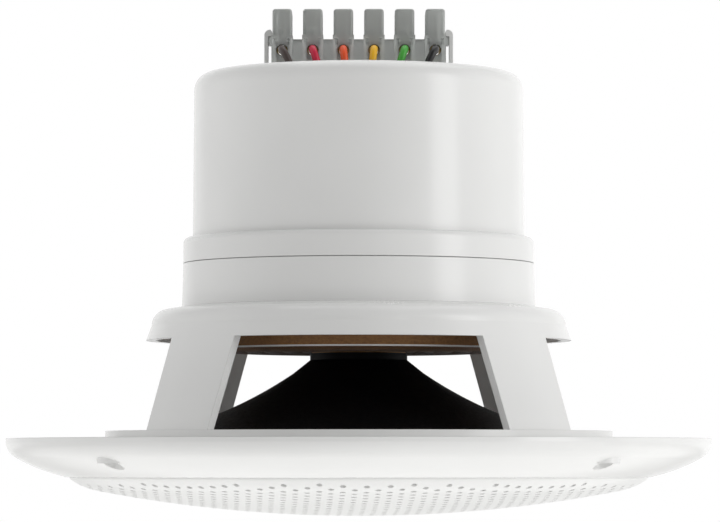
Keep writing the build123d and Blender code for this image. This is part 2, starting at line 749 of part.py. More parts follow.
# ---------------------------------------------------------------- rear cover
def rear_cover():
    """Cup over motor and transformer, with snap groove, lead slot, ribs and arms for the terminal strip."""
    ring_top = seam_z + COVER_RING_H
    low_r = cover_r
    high_r = cover_r - COVER_DRAFT
    corner = COVER_CORNER
    inner = COVER_CORNER - COVER_WALL
    in_r = high_r - COVER_WALL
    c45 = cos(radians(45))
    step_z = ring_top - COVER_WALL
    solid = turned(
        (0, cover_z),
        (high_r - corner, cover_z),
        Via((high_r - corner + corner * c45, cover_z - corner + corner * c45), (high_r, cover_z - corner)),
        (low_r, ring_top),
        (band_r - COVER_RING_ROUND, ring_top),
        Via((band_r - COVER_RING_ROUND * (1 - c45), ring_top - COVER_RING_ROUND * (1 - c45)),
            (band_r, ring_top - COVER_RING_ROUND)),
        (band_r, seam_z + FIT),
        (cover_ring_in_r, seam_z + FIT),
        (cover_ring_in_r, snap_z() - SNAP_BEAD_H / 2 - TOUCH_GAP),
        (cover_ring_in_r + SNAP_BEAD, snap_z()),
        (cover_ring_in_r, snap_z() + SNAP_BEAD_H / 2 + TOUCH_GAP),
        (cover_ring_in_r, step_z),
        (low_r - COVER_WALL, step_z),
        (in_r, cover_z - corner),
        Via((in_r - inner + inner * c45, cover_z - corner + inner * c45), (in_r - inner, cover_in_z)),
        (0, cover_in_z),
    )
    span = strip_half() * 2 - 1
    for side in (-1, 1):
        solid += block(span, RIB_W, cover_z, strip_z, y=side * RIB_Y)
        solid += snap_arm(side)
    return solid - grommet_slot(cover_in_z - 1, cover_z + 1, GROMMET_EDGE)


def strip_half():
    """Half the length of the terminal strip, end lugs left out."""
    return (WAY_COUNT - 1) * WAY_PITCH / 2 + WAY_W / 2


def snap_arm(side):
    """Arm that hooks over one end lug of the terminal strip."""
    near = strip_half() + END_LUG_L + ARM_GAP
    far = near + ARM_T
    hook_z = way_top_z + ARM_GAP
    top = hook_z + ARM_HOOK_H
    tip = strip_half() - 0.1
    c45 = cos(radians(45))
    bend = ARM_ROUND + 0.6
    profile = outline(
        (near, cover_z - 0.2),
        (near, hook_z),
        (tip, hook_z),
        (tip, top - 0.8),
        (tip + 0.5, top),
        (far - bend, top),
        Via((far - bend * (1 - c45), top - bend * (1 - c45)), (far, top - bend)),
        (far, cover_z - 0.2),
    )
    arm = extrude(profile, ARM_DEPTH / 2, both=True)
    return arm if side > 0 else Rot(0, 0, 180) * arm


def grommet_slot(low, high, edge):
    """Rounded slot round the row of leads, wider than them by an edge."""
    half = lead_pitch * (WAY_COUNT - 1) / 2
    width = (LEAD_R + edge) * 2
    slot = block(half * 2, width, low, high, y=-LEAD_Y)
    for x in (-half, half):
        slot += rod(width / 2, low, high, x, -LEAD_Y)
    return slot


def cable_grommet():
    """Rubber grommet strip with one hole for each lead."""
    body = grommet_slot(cover_in_z - GROMMET_LIP, cover_z + GROMMET_LIP, GROMMET_EDGE)
    for low in (cover_in_z - GROMMET_LIP, cover_z):
        body += grommet_slot(low, low + GROMMET_LIP, GROMMET_EDGE + 1.0)
    for k in range(WAY_COUNT):
        body -= rod(LEAD_R, cover_in_z - 2 * GROMMET_LIP, cover_z + 2 * GROMMET_LIP, lead_x(k), -LEAD_Y)
    return body


def cover_seal():
    """O-ring in the tongue's groove."""
    return Pos(0, 0, seam_z + SEAL_UP) * Torus(cover_ring_in_r - SEAL_R, SEAL_R)


# ---------------------------------------------------------------- terminal strip
def way_x(k):
    """Middle of a way."""
    return (k - (WAY_COUNT - 1) / 2) * WAY_PITCH


def lead_x(k):
    """Lead k where it leaves the grommet."""
    return (k - (WAY_COUNT - 1) / 2) * lead_pitch


def terminal_strip():
    """Moulded strip: six ways with two screw towers each, webs between them and a lug at each end."""
    strip = None
    for k in range(WAY_COUNT):
        x = way_x(k)
        way = block(WAY_W, WAY_DEPTH, strip_z, way_top_z, x)
        for side in (-1, 1):
            tower = block(TOWER_W, TOWER_DEPTH, way_top_z, tower_top_z, x, side * SCREW_Y)
            tower = fillet(tower.edges().group_by(Axis.Z)[-1] + tower.edges().filter_by(Axis.Z), TOWER_ROUND)
            way += tower
        strip = way if strip is None else strip + way
        if k:
            strip += block(WAY_PITCH - WAY_W, WEB_DEPTH, strip_z + WEB_UP, strip_z + WEB_UP + WEB_H,
                           x - WAY_PITCH / 2)
    for side in (-1, 1):
        strip += block(END_LUG_L, END_LUG_DEPTH, way_top_z - END_LUG_H, way_top_z,
                       side * (strip_half() + END_LUG_L / 2))
    for k in range(WAY_COUNT):
        x = way_x(k)
        strip -= block(BLOCK_W, BLOCK_L, strip_z - 1, wire_z + BLOCK_ABOVE, x)
        strip -= Pos(x, 0, wire_z) * Rot(90, 0, 0) * Cylinder(WIRE_HOLE_R, WAY_DEPTH + 2)
        for side in (-1, 1):
            y = side * SCREW_Y
            strip -= rod(SCREW_R + SLIP, wire_z + 1, way_top_z, x, y)
            strip -= rod(DRIVER_HOLE_R, driver_floor_z(), tower_top_z + 1, x, y)
            for notch in (-1, 1):
                strip -= block(0.9, 1.2, way_top_z - 3.2, way_top_z - 1.2, x + notch * (WAY_W / 2 - 1.15),
                               side * (WAY_DEPTH / 2 - 0.6 + 0.01))
    return strip


def driver_floor_z():
    """Floor of the screwdriver hole, above the brass."""
    return wire_z + BLOCK_ABOVE + 1.2


def clamp_blocks():
    """Brass inserts with a wire bore and two tapped holes each."""
    blocks = []
    for k in range(WAY_COUNT):
        x = way_x(k)
        piece = block(BLOCK_W, BLOCK_L, wire_z - BLOCK_BELOW, wire_z + BLOCK_ABOVE, x)
        piece -= Pos(x, 0, wire_z) * Rot(90, 0, 0) * Cylinder(BLOCK_BORE_R, BLOCK_L + 2)
        for side in (-1, 1):
            piece -= rod(SCREW_R + SLIP, wire_z, wire_z + BLOCK_ABOVE + 1, x, side * SCREW_Y)
        blocks.append(piece)
    return Compound(children=blocks)


def clamp_screw(x, y, lift):
    """Slotted clamp screw, raised by lift from where its tip would meet the lead's core."""
    tip = wire_z + CORE_WIRE_R + TOUCH_GAP + lift
    seat = tip + SCREW_SHANK
    screw = rod(SCREW_R, tip, seat, x, y) + rod(SCREW_HEAD_R, seat, seat + SCREW_HEAD_T, x, y)
    screw = chamfer(screw.edges().group_by(Axis.Z)[-1], 0.3)
    return screw - block(SCREW_HEAD_R * 2 + 1, SCREW_SLOT, seat + SCREW_HEAD_T - 1.1, seat + SCREW_HEAD_T + 1, x, y)


# ---------------------------------------------------------------- wiring
def lead(k):
    """Insulated lead from the bobbin's top flange, up through the grommet and down into its way."""
    start_x = (k - (WAY_COUNT - 1) / 2) * LEAD_START_PITCH
    start_y = -(CORE_STACK / 2 + BOBBIN_T + WINDING_BUILD / 2)
    start_z = back_plate_z + LIMB_W + core_window_h()
    points = [
        (start_x, start_y, start_z),
        (start_x, start_y, start_z + 4),
        (lead_x(k), -LEAD_Y, cover_in_z - GROMMET_LIP - 3),
        (lead_x(k), -LEAD_Y, cover_z + GROMMET_LIP + 1.4),
        (way_x(k), -LEAD_Y, wire_z),
        (way_x(k), -(BLOCK_L / 2 + 0.8), wire_z),
    ]
    return wire(LEAD_R, points, [4.0, 4.0, LEAD_LEAN_R, LEAD_BEND_R])


def lead_cores():
    """Stripped ends of the leads, under the inner clamp screws."""
    length = BLOCK_L / 2 + 0.8 - 1.0
    cores = []
    for k in range(WAY_COUNT):
        middle = -(1.0 + length / 2)
        cores.append(Pos(way_x(k), middle, wire_z) * Rot(90, 0, 0) * Cylinder(CORE_WIRE_R, length))
    return Compound(children=cores)


def hookup_y():
    """Where the hook-up wires pass the motor, between top plate and band."""
    return plate_r + MOTOR_ROOM / 2 - 0.5


def tag_y():
    """Middle of the tag board, outside the spider ring."""
    return spider_ring_r + FIT + TAG_BOARD[1] / 2


def tag_z():
    """Underside of the tag board, which is fixed under the shoulder."""
    return platform_z - TAG_BOARD[2]


def tag_pocket():
    """Room in the leg ring's inside for the tag board."""
    return block(TAG_BOARD[0] + 2 * FIT, TAG_BOARD[1] + 2 * FIT, tag_z() - FIT, platform_z, y=tag_y())


def tag_board():
    """Board under the shoulder that carries the two solder tags."""
    return block(TAG_BOARD[0], TAG_BOARD[1], tag_z(), platform_z, y=tag_y())


def solder_tags():
    """Two round solder tags under the board."""
    return Compound(children=[rod(TAG_R, tag_z() - TAG_T, tag_z(), side * TAG_X, tag_y()) for side in (-1, 1)])


def tinsel_leads():
    """Flexible braid from each tag to the cone's throat."""
    leads = []
    throat_r, throat_z = throat()
    for side in (-1, 1):
        start = (side * TAG_X, tag_y(), tag_z() - TAG_T)
        y_end = sqrt(throat_r**2 - TAG_X**2)
        points = [
            start,
            (start[0], start[1], start[2] - 5),
            (start[0], (start[1] + y_end) / 2, throat_z - 0.5),
            (start[0], y_end + 3.6, throat_z + 1.7),
            (start[0], y_end + 0.2, throat_z + TINSEL_R),
        ]
        leads.append(wire(TINSEL_R, points, [4.0, 8.0, 2.2]))
    return Compound(children=leads)


def hookup_wires():
    """Pair from the secondary, down past the motor and out to the tag board."""
    wires = []
    start_z = back_plate_z + LIMB_W + BOBBIN_T + SECONDARY_SHARE_H / 2
    start_y = CORE_STACK / 2 + BOBBIN_T + WINDING_BUILD
    low_z = tag_z() - TAG_T - HOOKUP_R
    for side in (-1, 1):
        x = side * HOOKUP_X
        points = [
            (x, start_y, start_z),
            (x, hookup_y(), start_z),
            (x, hookup_y(), low_z),
            (x, tag_y(), low_z),
            (side * (TAG_X - TINSEL_R - FIT), tag_y(), low_z),
        ]
        wires.append(wire(HOOKUP_R, points, [6.0, 2.4, 1.6]))
    return Compound(children=wires)


# ---------------------------------------------------------------- write every node
def main():
    os.makedirs("parts", exist_ok=True)
    for make in (basket, grille, surround, cone, dust_cap, coil_former, coil_winding, spider, spider_ring,
                 top_plate, magnet, back_plate, motor_screws, core_stack, bobbin, primary_winding,
                 secondary_winding, core_strap, strap_screws, rear_cover, cover_seal, cable_grommet,
                 terminal_strip, clamp_blocks, lead_cores, tag_board, solder_tags, tinsel_leads,
                 hookup_wires):
        save(make.__name__, make())
    save("surround_gasket", gasket())
    for k, colour in enumerate(LEAD_COLOURS):
        save(f"lead_{colour}", lead(k))
        save(f"inner_clamp_screw_{k + 1}", clamp_screw(way_x(k), -SCREW_Y, 0))
        save(f"outer_clamp_screw_{k + 1}", clamp_screw(way_x(k), SCREW_Y, OUTER_SCREW_OPEN))


main()
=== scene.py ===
"""Looks for the flush ceiling loudspeaker: finishes for every part, the perforated grille, the cone's roll
edge, spider and braided leads, and a pale studio round them."""

from __future__ import annotations

import json
import logging
import math
from dataclasses import dataclass
from enum import Enum

import bmesh
import bpy
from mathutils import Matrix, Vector

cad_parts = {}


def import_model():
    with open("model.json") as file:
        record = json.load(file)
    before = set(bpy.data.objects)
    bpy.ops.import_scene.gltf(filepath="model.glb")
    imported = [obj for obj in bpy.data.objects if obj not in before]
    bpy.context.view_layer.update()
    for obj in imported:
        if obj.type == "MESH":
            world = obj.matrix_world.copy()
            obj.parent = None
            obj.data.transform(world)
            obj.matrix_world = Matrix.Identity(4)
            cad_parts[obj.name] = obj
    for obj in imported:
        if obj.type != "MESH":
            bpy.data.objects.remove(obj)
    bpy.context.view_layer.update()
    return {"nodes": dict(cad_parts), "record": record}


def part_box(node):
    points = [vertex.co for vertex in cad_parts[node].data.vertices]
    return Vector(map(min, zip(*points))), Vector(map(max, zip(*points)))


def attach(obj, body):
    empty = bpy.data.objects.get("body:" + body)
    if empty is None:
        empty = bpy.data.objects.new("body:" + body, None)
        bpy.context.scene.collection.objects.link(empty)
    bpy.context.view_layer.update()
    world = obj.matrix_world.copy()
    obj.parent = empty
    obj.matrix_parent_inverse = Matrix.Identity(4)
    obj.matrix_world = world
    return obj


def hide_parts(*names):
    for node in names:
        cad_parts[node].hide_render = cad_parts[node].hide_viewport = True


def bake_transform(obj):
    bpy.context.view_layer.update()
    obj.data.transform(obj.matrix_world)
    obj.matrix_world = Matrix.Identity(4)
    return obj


LOG = logging.getLogger("ceiling_loudspeaker")
MM = 0.001
ON_AXIS = 1e-9
WAVES_PER_BAND = 0.3183
SPEAKER = "speaker"
DIAPHRAGM = "diaphragm"
Colour = tuple[float, float, float, float]
Profile = list[tuple[float, float]]


def rgb(red: float, green: float, blue: float) -> Colour:
    """An opaque linear colour."""
    return (red, green, blue, 1.0)


# ---------------------------------------------------------------- node tree helpers
class Effect(Enum):
    """Shader groups that more than one finish uses."""

    MOULD_SKIN = "mould skin"
    SETTLED_DUST = "settled dust"
    BRUSHED_GRAIN = "brushed grain"
    WOVEN_CLOTH = "woven cloth"
    WOUND_TURNS = "wound turns"
    FIBRE_FLECK = "fibre fleck"


class NodeBench:
    """Short ways to place and join nodes in one shader tree."""

    def __init__(self, tree: bpy.types.NodeTree) -> None:
        """Works on a tree.

        Args:
            tree: the shader tree that nodes are added to.
        """
        self.tree = tree
        self.column = 0

    def add(self, kind: str, **settings: object) -> bpy.types.Node:
        """Adds a node.

        Args:
            kind: the node's type name without the leading ShaderNode.
            settings: properties to set on it.

        Returns:
            The new node.
        """
        node = self.tree.nodes.new("ShaderNode" + kind)
        node.location = (-900 + 180 * (self.column % 8), 500 - 260 * (self.column // 8))
        self.column += 1
        for name, value in settings.items():
            setattr(node, name, value)
        return node

    def feed(self, socket: bpy.types.NodeSocket, value: object) -> None:
        """Links a socket to another one, or sets its plain value.

        Args:
            socket: the input to feed.
            value: an output socket, a number or a colour.
        """
        if isinstance(value, bpy.types.NodeSocket):
            self.tree.links.new(value, socket)
        else:
            socket.default_value = value

    def place(self) -> bpy.types.NodeSocket:
        """Object coordinates, in metres."""
        return self.add("TexCoord").outputs["Object"]

    def stretched(self, scale: tuple[float, float, float], turn: tuple[float, float, float] = (0, 0, 0),
                  start: object = None) -> bpy.types.NodeSocket:
        """Coordinates scaled and turned through a Mapping node.

        Args:
            scale: factors along each axis.
            turn: rotation in radians.
            start: coordinates to begin with, or None for object coordinates.

        Returns:
            The mapped vector.
        """
        node = self.add("Mapping")
        self.feed(node.inputs["Vector"], self.place() if start is None else start)
        node.inputs["Scale"].default_value = scale
        node.inputs["Rotation"].default_value = turn
        return node.outputs["Vector"]

    def noise(self, scale: object, detail: float = 3.0, rough: float = 0.5,
              vector: object = None) -> bpy.types.NodeSocket:
        """Noise value from 0 to 1.

        Args:
            scale: cells per metre.
            detail: octaves.
            rough: weight of the finer octaves.
            vector: coordinates, or None for object coordinates.

        Returns:
            The noise's factor.
        """
        node = self.add("TexNoise")
        self.feed(node.inputs["Vector"], self.place() if vector is None else vector)
        self.feed(node.inputs["Scale"], scale)
        node.inputs["Detail"].default_value = detail
        node.inputs["Roughness"].default_value = rough
        return node.outputs["Fac"]

    def maths(self, operation: str, *values: object, clamp: bool = False) -> bpy.types.NodeSocket:
        """Result of a Math node.

        Args:
            operation: the node's operation.
            values: one, two or three sockets or numbers.
            clamp: whether the result stays between 0 and 1.

        Returns:
            The value.
        """
        node = self.add("Math", operation=operation, use_clamp=clamp)
        for socket, value in zip(node.inputs, values):
            self.feed(socket, value)
        return node.outputs[0]

    def spread(self, value: object, low: float, high: float, to_low: float,
               to_high: float) -> bpy.types.NodeSocket:
        """Maps a value from one range to another, clamped.

        Args:
            value: what to map.
            low: start of its range.
            high: end of its range.
            to_low: result at the start.
            to_high: result at the end.

        Returns:
            The mapped value.
        """
        node = self.add("MapRange")
        for name, number in (("Value", value), ("From Min", low), ("From Max", high), ("To Min", to_low),
                             ("To Max", to_high)):
            self.feed(node.inputs[name], number)
        return node.outputs["Result"]

    def blend(self, factor: object, first: object, second: object) -> bpy.types.NodeSocket:
        """Mixes two colours.

        Args:
            factor: 0 for the first, 1 for the second.
            first: colour or socket.
            second: colour or socket.

        Returns:
            The mixed colour.
        """
        node = self.add("Mix", data_type="RGBA")
        self.feed(node.inputs[0], factor)
        self.feed(node.inputs[6], first)
        self.feed(node.inputs[7], second)
        return node.outputs[2]

    def bump(self, height: object, strength: float, distance: float,
             normal: object = None) -> bpy.types.NodeSocket:
        """Normal from a height.

        Args:
            height: the height socket.
            strength: share of the effect.
            distance: real depth in metres.
            normal: a normal to add to, or None.

        Returns:
            The bumped normal.
        """
        node = self.add("Bump")
        self.feed(node.inputs["Height"], height)
        node.inputs["Strength"].default_value = strength
        node.inputs["Distance"].default_value = distance
        if normal is not None:
            self.feed(node.inputs["Normal"], normal)
        return node.outputs["Normal"]


class EffectLibrary:
    """Builds each shared shader group once and hands it out."""

    def __init__(self) -> None:
        """Starts with no groups built."""
        self.trees: dict[Effect, bpy.types.NodeTree] = {}
        self.makers = {
            Effect.MOULD_SKIN: self.mould_skin,
            Effect.SETTLED_DUST: self.settled_dust,
            Effect.BRUSHED_GRAIN: self.brushed_grain,
            Effect.WOVEN_CLOTH: self.woven_cloth,
            Effect.WOUND_TURNS: self.wound_turns,
            Effect.FIBRE_FLECK: self.fibre_fleck,
        }

    def start(self, effect: Effect, inputs: dict[str, float], outputs: tuple[str, ...]
              ) -> tuple[NodeBench, bpy.types.Node, bpy.types.Node]:
        """Opens a new group.

        Args:
            effect: which effect it holds.
            inputs: its number inputs and their usual values.
            outputs: its number outputs.

        Returns:
            The bench, the group's input node and its output node.
        """
        tree = bpy.data.node_groups.new(effect.value, "ShaderNodeTree")
        for name, value in inputs.items():
            socket = tree.interface.new_socket(name=name, in_out="INPUT", socket_type="NodeSocketFloat")
            socket.default_value = value
        for name in outputs:
            tree.interface.new_socket(name=name, in_out="OUTPUT", socket_type="NodeSocketFloat")
        bench = NodeBench(tree)
        self.trees[effect] = tree
        return bench, tree.nodes.new("NodeGroupInput"), tree.nodes.new("NodeGroupOutput")

    def mould_skin(self) -> None:
        """Faint orange peel and slow tone changes of a moulded face."""
        bench, given, result = self.start(Effect.MOULD_SKIN, {"Peel scale": 700.0, "Flow scale": 18.0},
                                          ("Height", "Tone"))
        peel = bench.noise(given.outputs["Peel scale"], 2.0, 0.45)
        flow = bench.noise(given.outputs["Flow scale"], 2.0, 0.5)
        height = bench.maths("MULTIPLY_ADD", flow, 2.5, peel)
        bench.feed(result.inputs["Height"], height)
        bench.feed(result.inputs["Tone"], bench.spread(flow, 0.35, 0.65, 0.0, 1.0))

    def settled_dust(self) -> None:
        """Fine dust that lies on faces that look up."""
        bench, given, result = self.start(Effect.SETTLED_DUST, {"Amount": 0.3}, ("Mask",))
        facing = bench.add("SeparateXYZ")
        bench.feed(facing.inputs[0], bench.add("NewGeometry").outputs["Normal"])
        upward = bench.spread(facing.outputs["Z"], 0.55, 1.0, 0.0, 1.0)
        fine = bench.spread(bench.noise(900.0, 4.0, 0.7), 0.42, 0.75, 0.0, 1.0)
        patches = bench.spread(bench.noise(35.0, 3.0, 0.6), 0.35, 0.7, 0.2, 1.0)
        mask = bench.maths("MULTIPLY", bench.maths("MULTIPLY", upward, fine), patches)
        bench.feed(result.inputs["Mask"], bench.maths("MULTIPLY", mask, given.outputs["Amount"], clamp=True))

    def brushed_grain(self) -> None:
        """Fine scratches round the axis of a turned or ground steel part, and soft plating clouds."""
        bench, given, result = self.start(Effect.BRUSHED_GRAIN, {"Grain scale": 2600.0}, ("Height", "Tone"))
        split = bench.add("SeparateXYZ")
        bench.feed(split.inputs[0], bench.place())
        squares = [bench.maths("POWER", split.outputs[axis], 2.0) for axis in ("X", "Y")]
        radius = bench.maths("SQRT", bench.maths("ADD", *squares))
        join = bench.add("CombineXYZ")
        bench.feed(join.inputs["X"], radius)
        bench.feed(join.inputs["Y"], split.outputs["Z"])
        lines = bench.noise(given.outputs["Grain scale"], 2.0, 0.6, join.outputs[0])
        clouds = bench.noise(160.0, 4.0, 0.6)
        bench.feed(result.inputs["Height"], lines)
        mixed = bench.maths("MULTIPLY_ADD", lines, 0.4, bench.maths("MULTIPLY", clouds, 0.6))
        bench.feed(result.inputs["Tone"], bench.spread(mixed, 0.32, 0.68, 0.0, 1.0))

    def woven_cloth(self) -> None:
        """Plain weave of fine threads."""
        bench, given, result = self.start(Effect.WOVEN_CLOTH, {"Threads": 1500.0}, ("Height", "Tone"))
        waves = []
        for direction in ("X", "Y"):
            wave = bench.add("TexWave", wave_type="BANDS", bands_direction=direction, wave_profile="SIN")
            bench.feed(wave.inputs["Vector"], bench.place())
            bands = bench.maths("MULTIPLY", given.outputs["Threads"], WAVES_PER_BAND)
            bench.feed(wave.inputs["Scale"], bands)
            wave.inputs["Distortion"].default_value = 0.6
            wave.inputs["Detail Scale"].default_value = 0.4
            waves.append(wave.outputs["Fac"])
        knots = bench.maths("MULTIPLY", waves[0], waves[1])
        bench.feed(result.inputs["Height"], bench.maths("MAXIMUM", waves[0], waves[1]))
        resin = bench.noise(120.0, 4.0, 0.6)
        tone = bench.maths("MULTIPLY_ADD", knots, 0.45, bench.maths("MULTIPLY", resin, 0.55))
        bench.feed(result.inputs["Tone"], bench.spread(tone, 0.15, 0.75, 0.0, 1.0))

    def wound_turns(self) -> None:
        """Close turns of wire or tape that lie one above the next."""
        bench, given, result = self.start(Effect.WOUND_TURNS, {"Turns": 2400.0}, ("Height", "Tone"))
        wave = bench.add("TexWave", wave_type="BANDS", bands_direction="Z", wave_profile="SIN")
        bench.feed(wave.inputs["Vector"], bench.place())
        bench.feed(wave.inputs["Scale"], bench.maths("MULTIPLY", given.outputs["Turns"], WAVES_PER_BAND))
        wave.inputs["Distortion"].default_value = 0.15
        bench.feed(result.inputs["Height"], wave.outputs["Fac"])
        drift = bench.noise(220.0, 3.0, 0.6)
        tone = bench.maths("MULTIPLY_ADD", wave.outputs["Fac"], 0.5, bench.maths("MULTIPLY", drift, 0.5))
        bench.feed(result.inputs["Tone"], bench.spread(tone, 0.2, 0.8, 0.0, 1.0))

    def fibre_fleck(self) -> None:
        """Short flecks and a matted surface, as in pressed board, foam and cone stock."""
        bench, given, result = self.start(Effect.FIBRE_FLECK, {"Fleck scale": 1400.0}, ("Height", "Tone"))
        long_way = bench.stretched((1.0, 0.25, 1.0), (0.3, 0.0, 0.7))
        cross_way = bench.stretched((0.3, 1.0, 1.0), (0.0, 0.4, -0.5))
        first = bench.noise(given.outputs["Fleck scale"], 3.0, 0.6, long_way)
        second = bench.noise(given.outputs["Fleck scale"], 3.0, 0.6, cross_way)
        height = bench.maths("MAXIMUM", first, second)
        bench.feed(result.inputs["Height"], height)
        bench.feed(result.inputs["Tone"], bench.spread(height, 0.4, 0.72, 0.0, 1.0))

    def use(self, bench: NodeBench, effect: Effect, **values: float) -> bpy.types.Node:
        """Places a group in a material.

        Args:
            bench: the material's bench.
            effect: which group.
            values: its inputs, with underscores for spaces.

        Returns:
            The group node.
        """
        if effect not in self.trees:
            self.makers[effect]()
        node = bench.add("Group")
        node.node_tree = self.trees[effect]
        for name, value in values.items():
            node.inputs[name.replace("_", " ").capitalize()].default_value = value
        return node


# ---------------------------------------------------------------- finishes
@dataclass(frozen=True)
class Finish:
    """A finish with two tones, a roughness range and a relief taken from one shared effect."""

    name: str
    light: Colour
    dark: Colour
    rough: tuple[float, float] = (0.4, 0.5)
    metallic: float = 0.0
    effect: Effect = Effect.MOULD_SKIN
    scale: float = 700.0
    relief: float = 0.00002
    relief_share: float = 0.3
    dust: float = 0.0
    ior: float = 1.5
    specular: float = 0.5
    transmission: float = 0.0
    subsurface: float = 0.0
    subsurface_reach: float = 1.0 * MM
    sheen: float = 0.0
    edge_round: float = 0.0

    def build(self, effects: EffectLibrary) -> bpy.types.Material:
        """Makes the material.

        Args:
            effects: the shared groups.

        Returns:
            The new material.
        """
        material = bpy.data.materials.new(self.name)
        material.use_nodes = True
        bench = NodeBench(material.node_tree)
        shader = material.node_tree.nodes["Principled BSDF"]
        skin = effects.use(bench, self.effect, **{SCALE_INPUT[self.effect]: self.scale})
        colour = bench.blend(skin.outputs["Tone"], self.dark, self.light)
        rough = bench.spread(skin.outputs["Tone"], 0.0, 1.0, self.rough[0], self.rough[1])
        if self.dust:
            dust = effects.use(bench, Effect.SETTLED_DUST, amount=self.dust).outputs["Mask"]
            colour = bench.blend(dust, colour, rgb(0.42, 0.4, 0.36))
            rough = bench.maths("MULTIPLY_ADD", dust, 0.5, rough, clamp=True)
        bench.feed(shader.inputs["Base Color"], colour)
        bench.feed(shader.inputs["Roughness"], rough)
        rounded = None
        if self.edge_round:
            bevel = bench.add("Bevel", samples=6)
            bevel.inputs["Radius"].default_value = self.edge_round
            rounded = bevel.outputs["Normal"]
        bench.feed(shader.inputs["Normal"],
                   bench.bump(skin.outputs["Height"], self.relief_share, self.relief, rounded))
        for socket, value in (("Metallic", self.metallic), ("IOR", self.ior),
                              ("Specular IOR Level", self.specular),
                              ("Transmission Weight", self.transmission),
                              ("Subsurface Weight", self.subsurface),
                              ("Subsurface Scale", self.subsurface_reach), ("Sheen Weight", self.sheen)):
            shader.inputs[socket].default_value = value
        return material


SCALE_INPUT = {
    Effect.MOULD_SKIN: "peel_scale",
    Effect.BRUSHED_GRAIN: "grain_scale",
    Effect.WOVEN_CLOTH: "threads",
    Effect.WOUND_TURNS: "turns",
    Effect.FIBRE_FLECK: "fleck_scale",
}

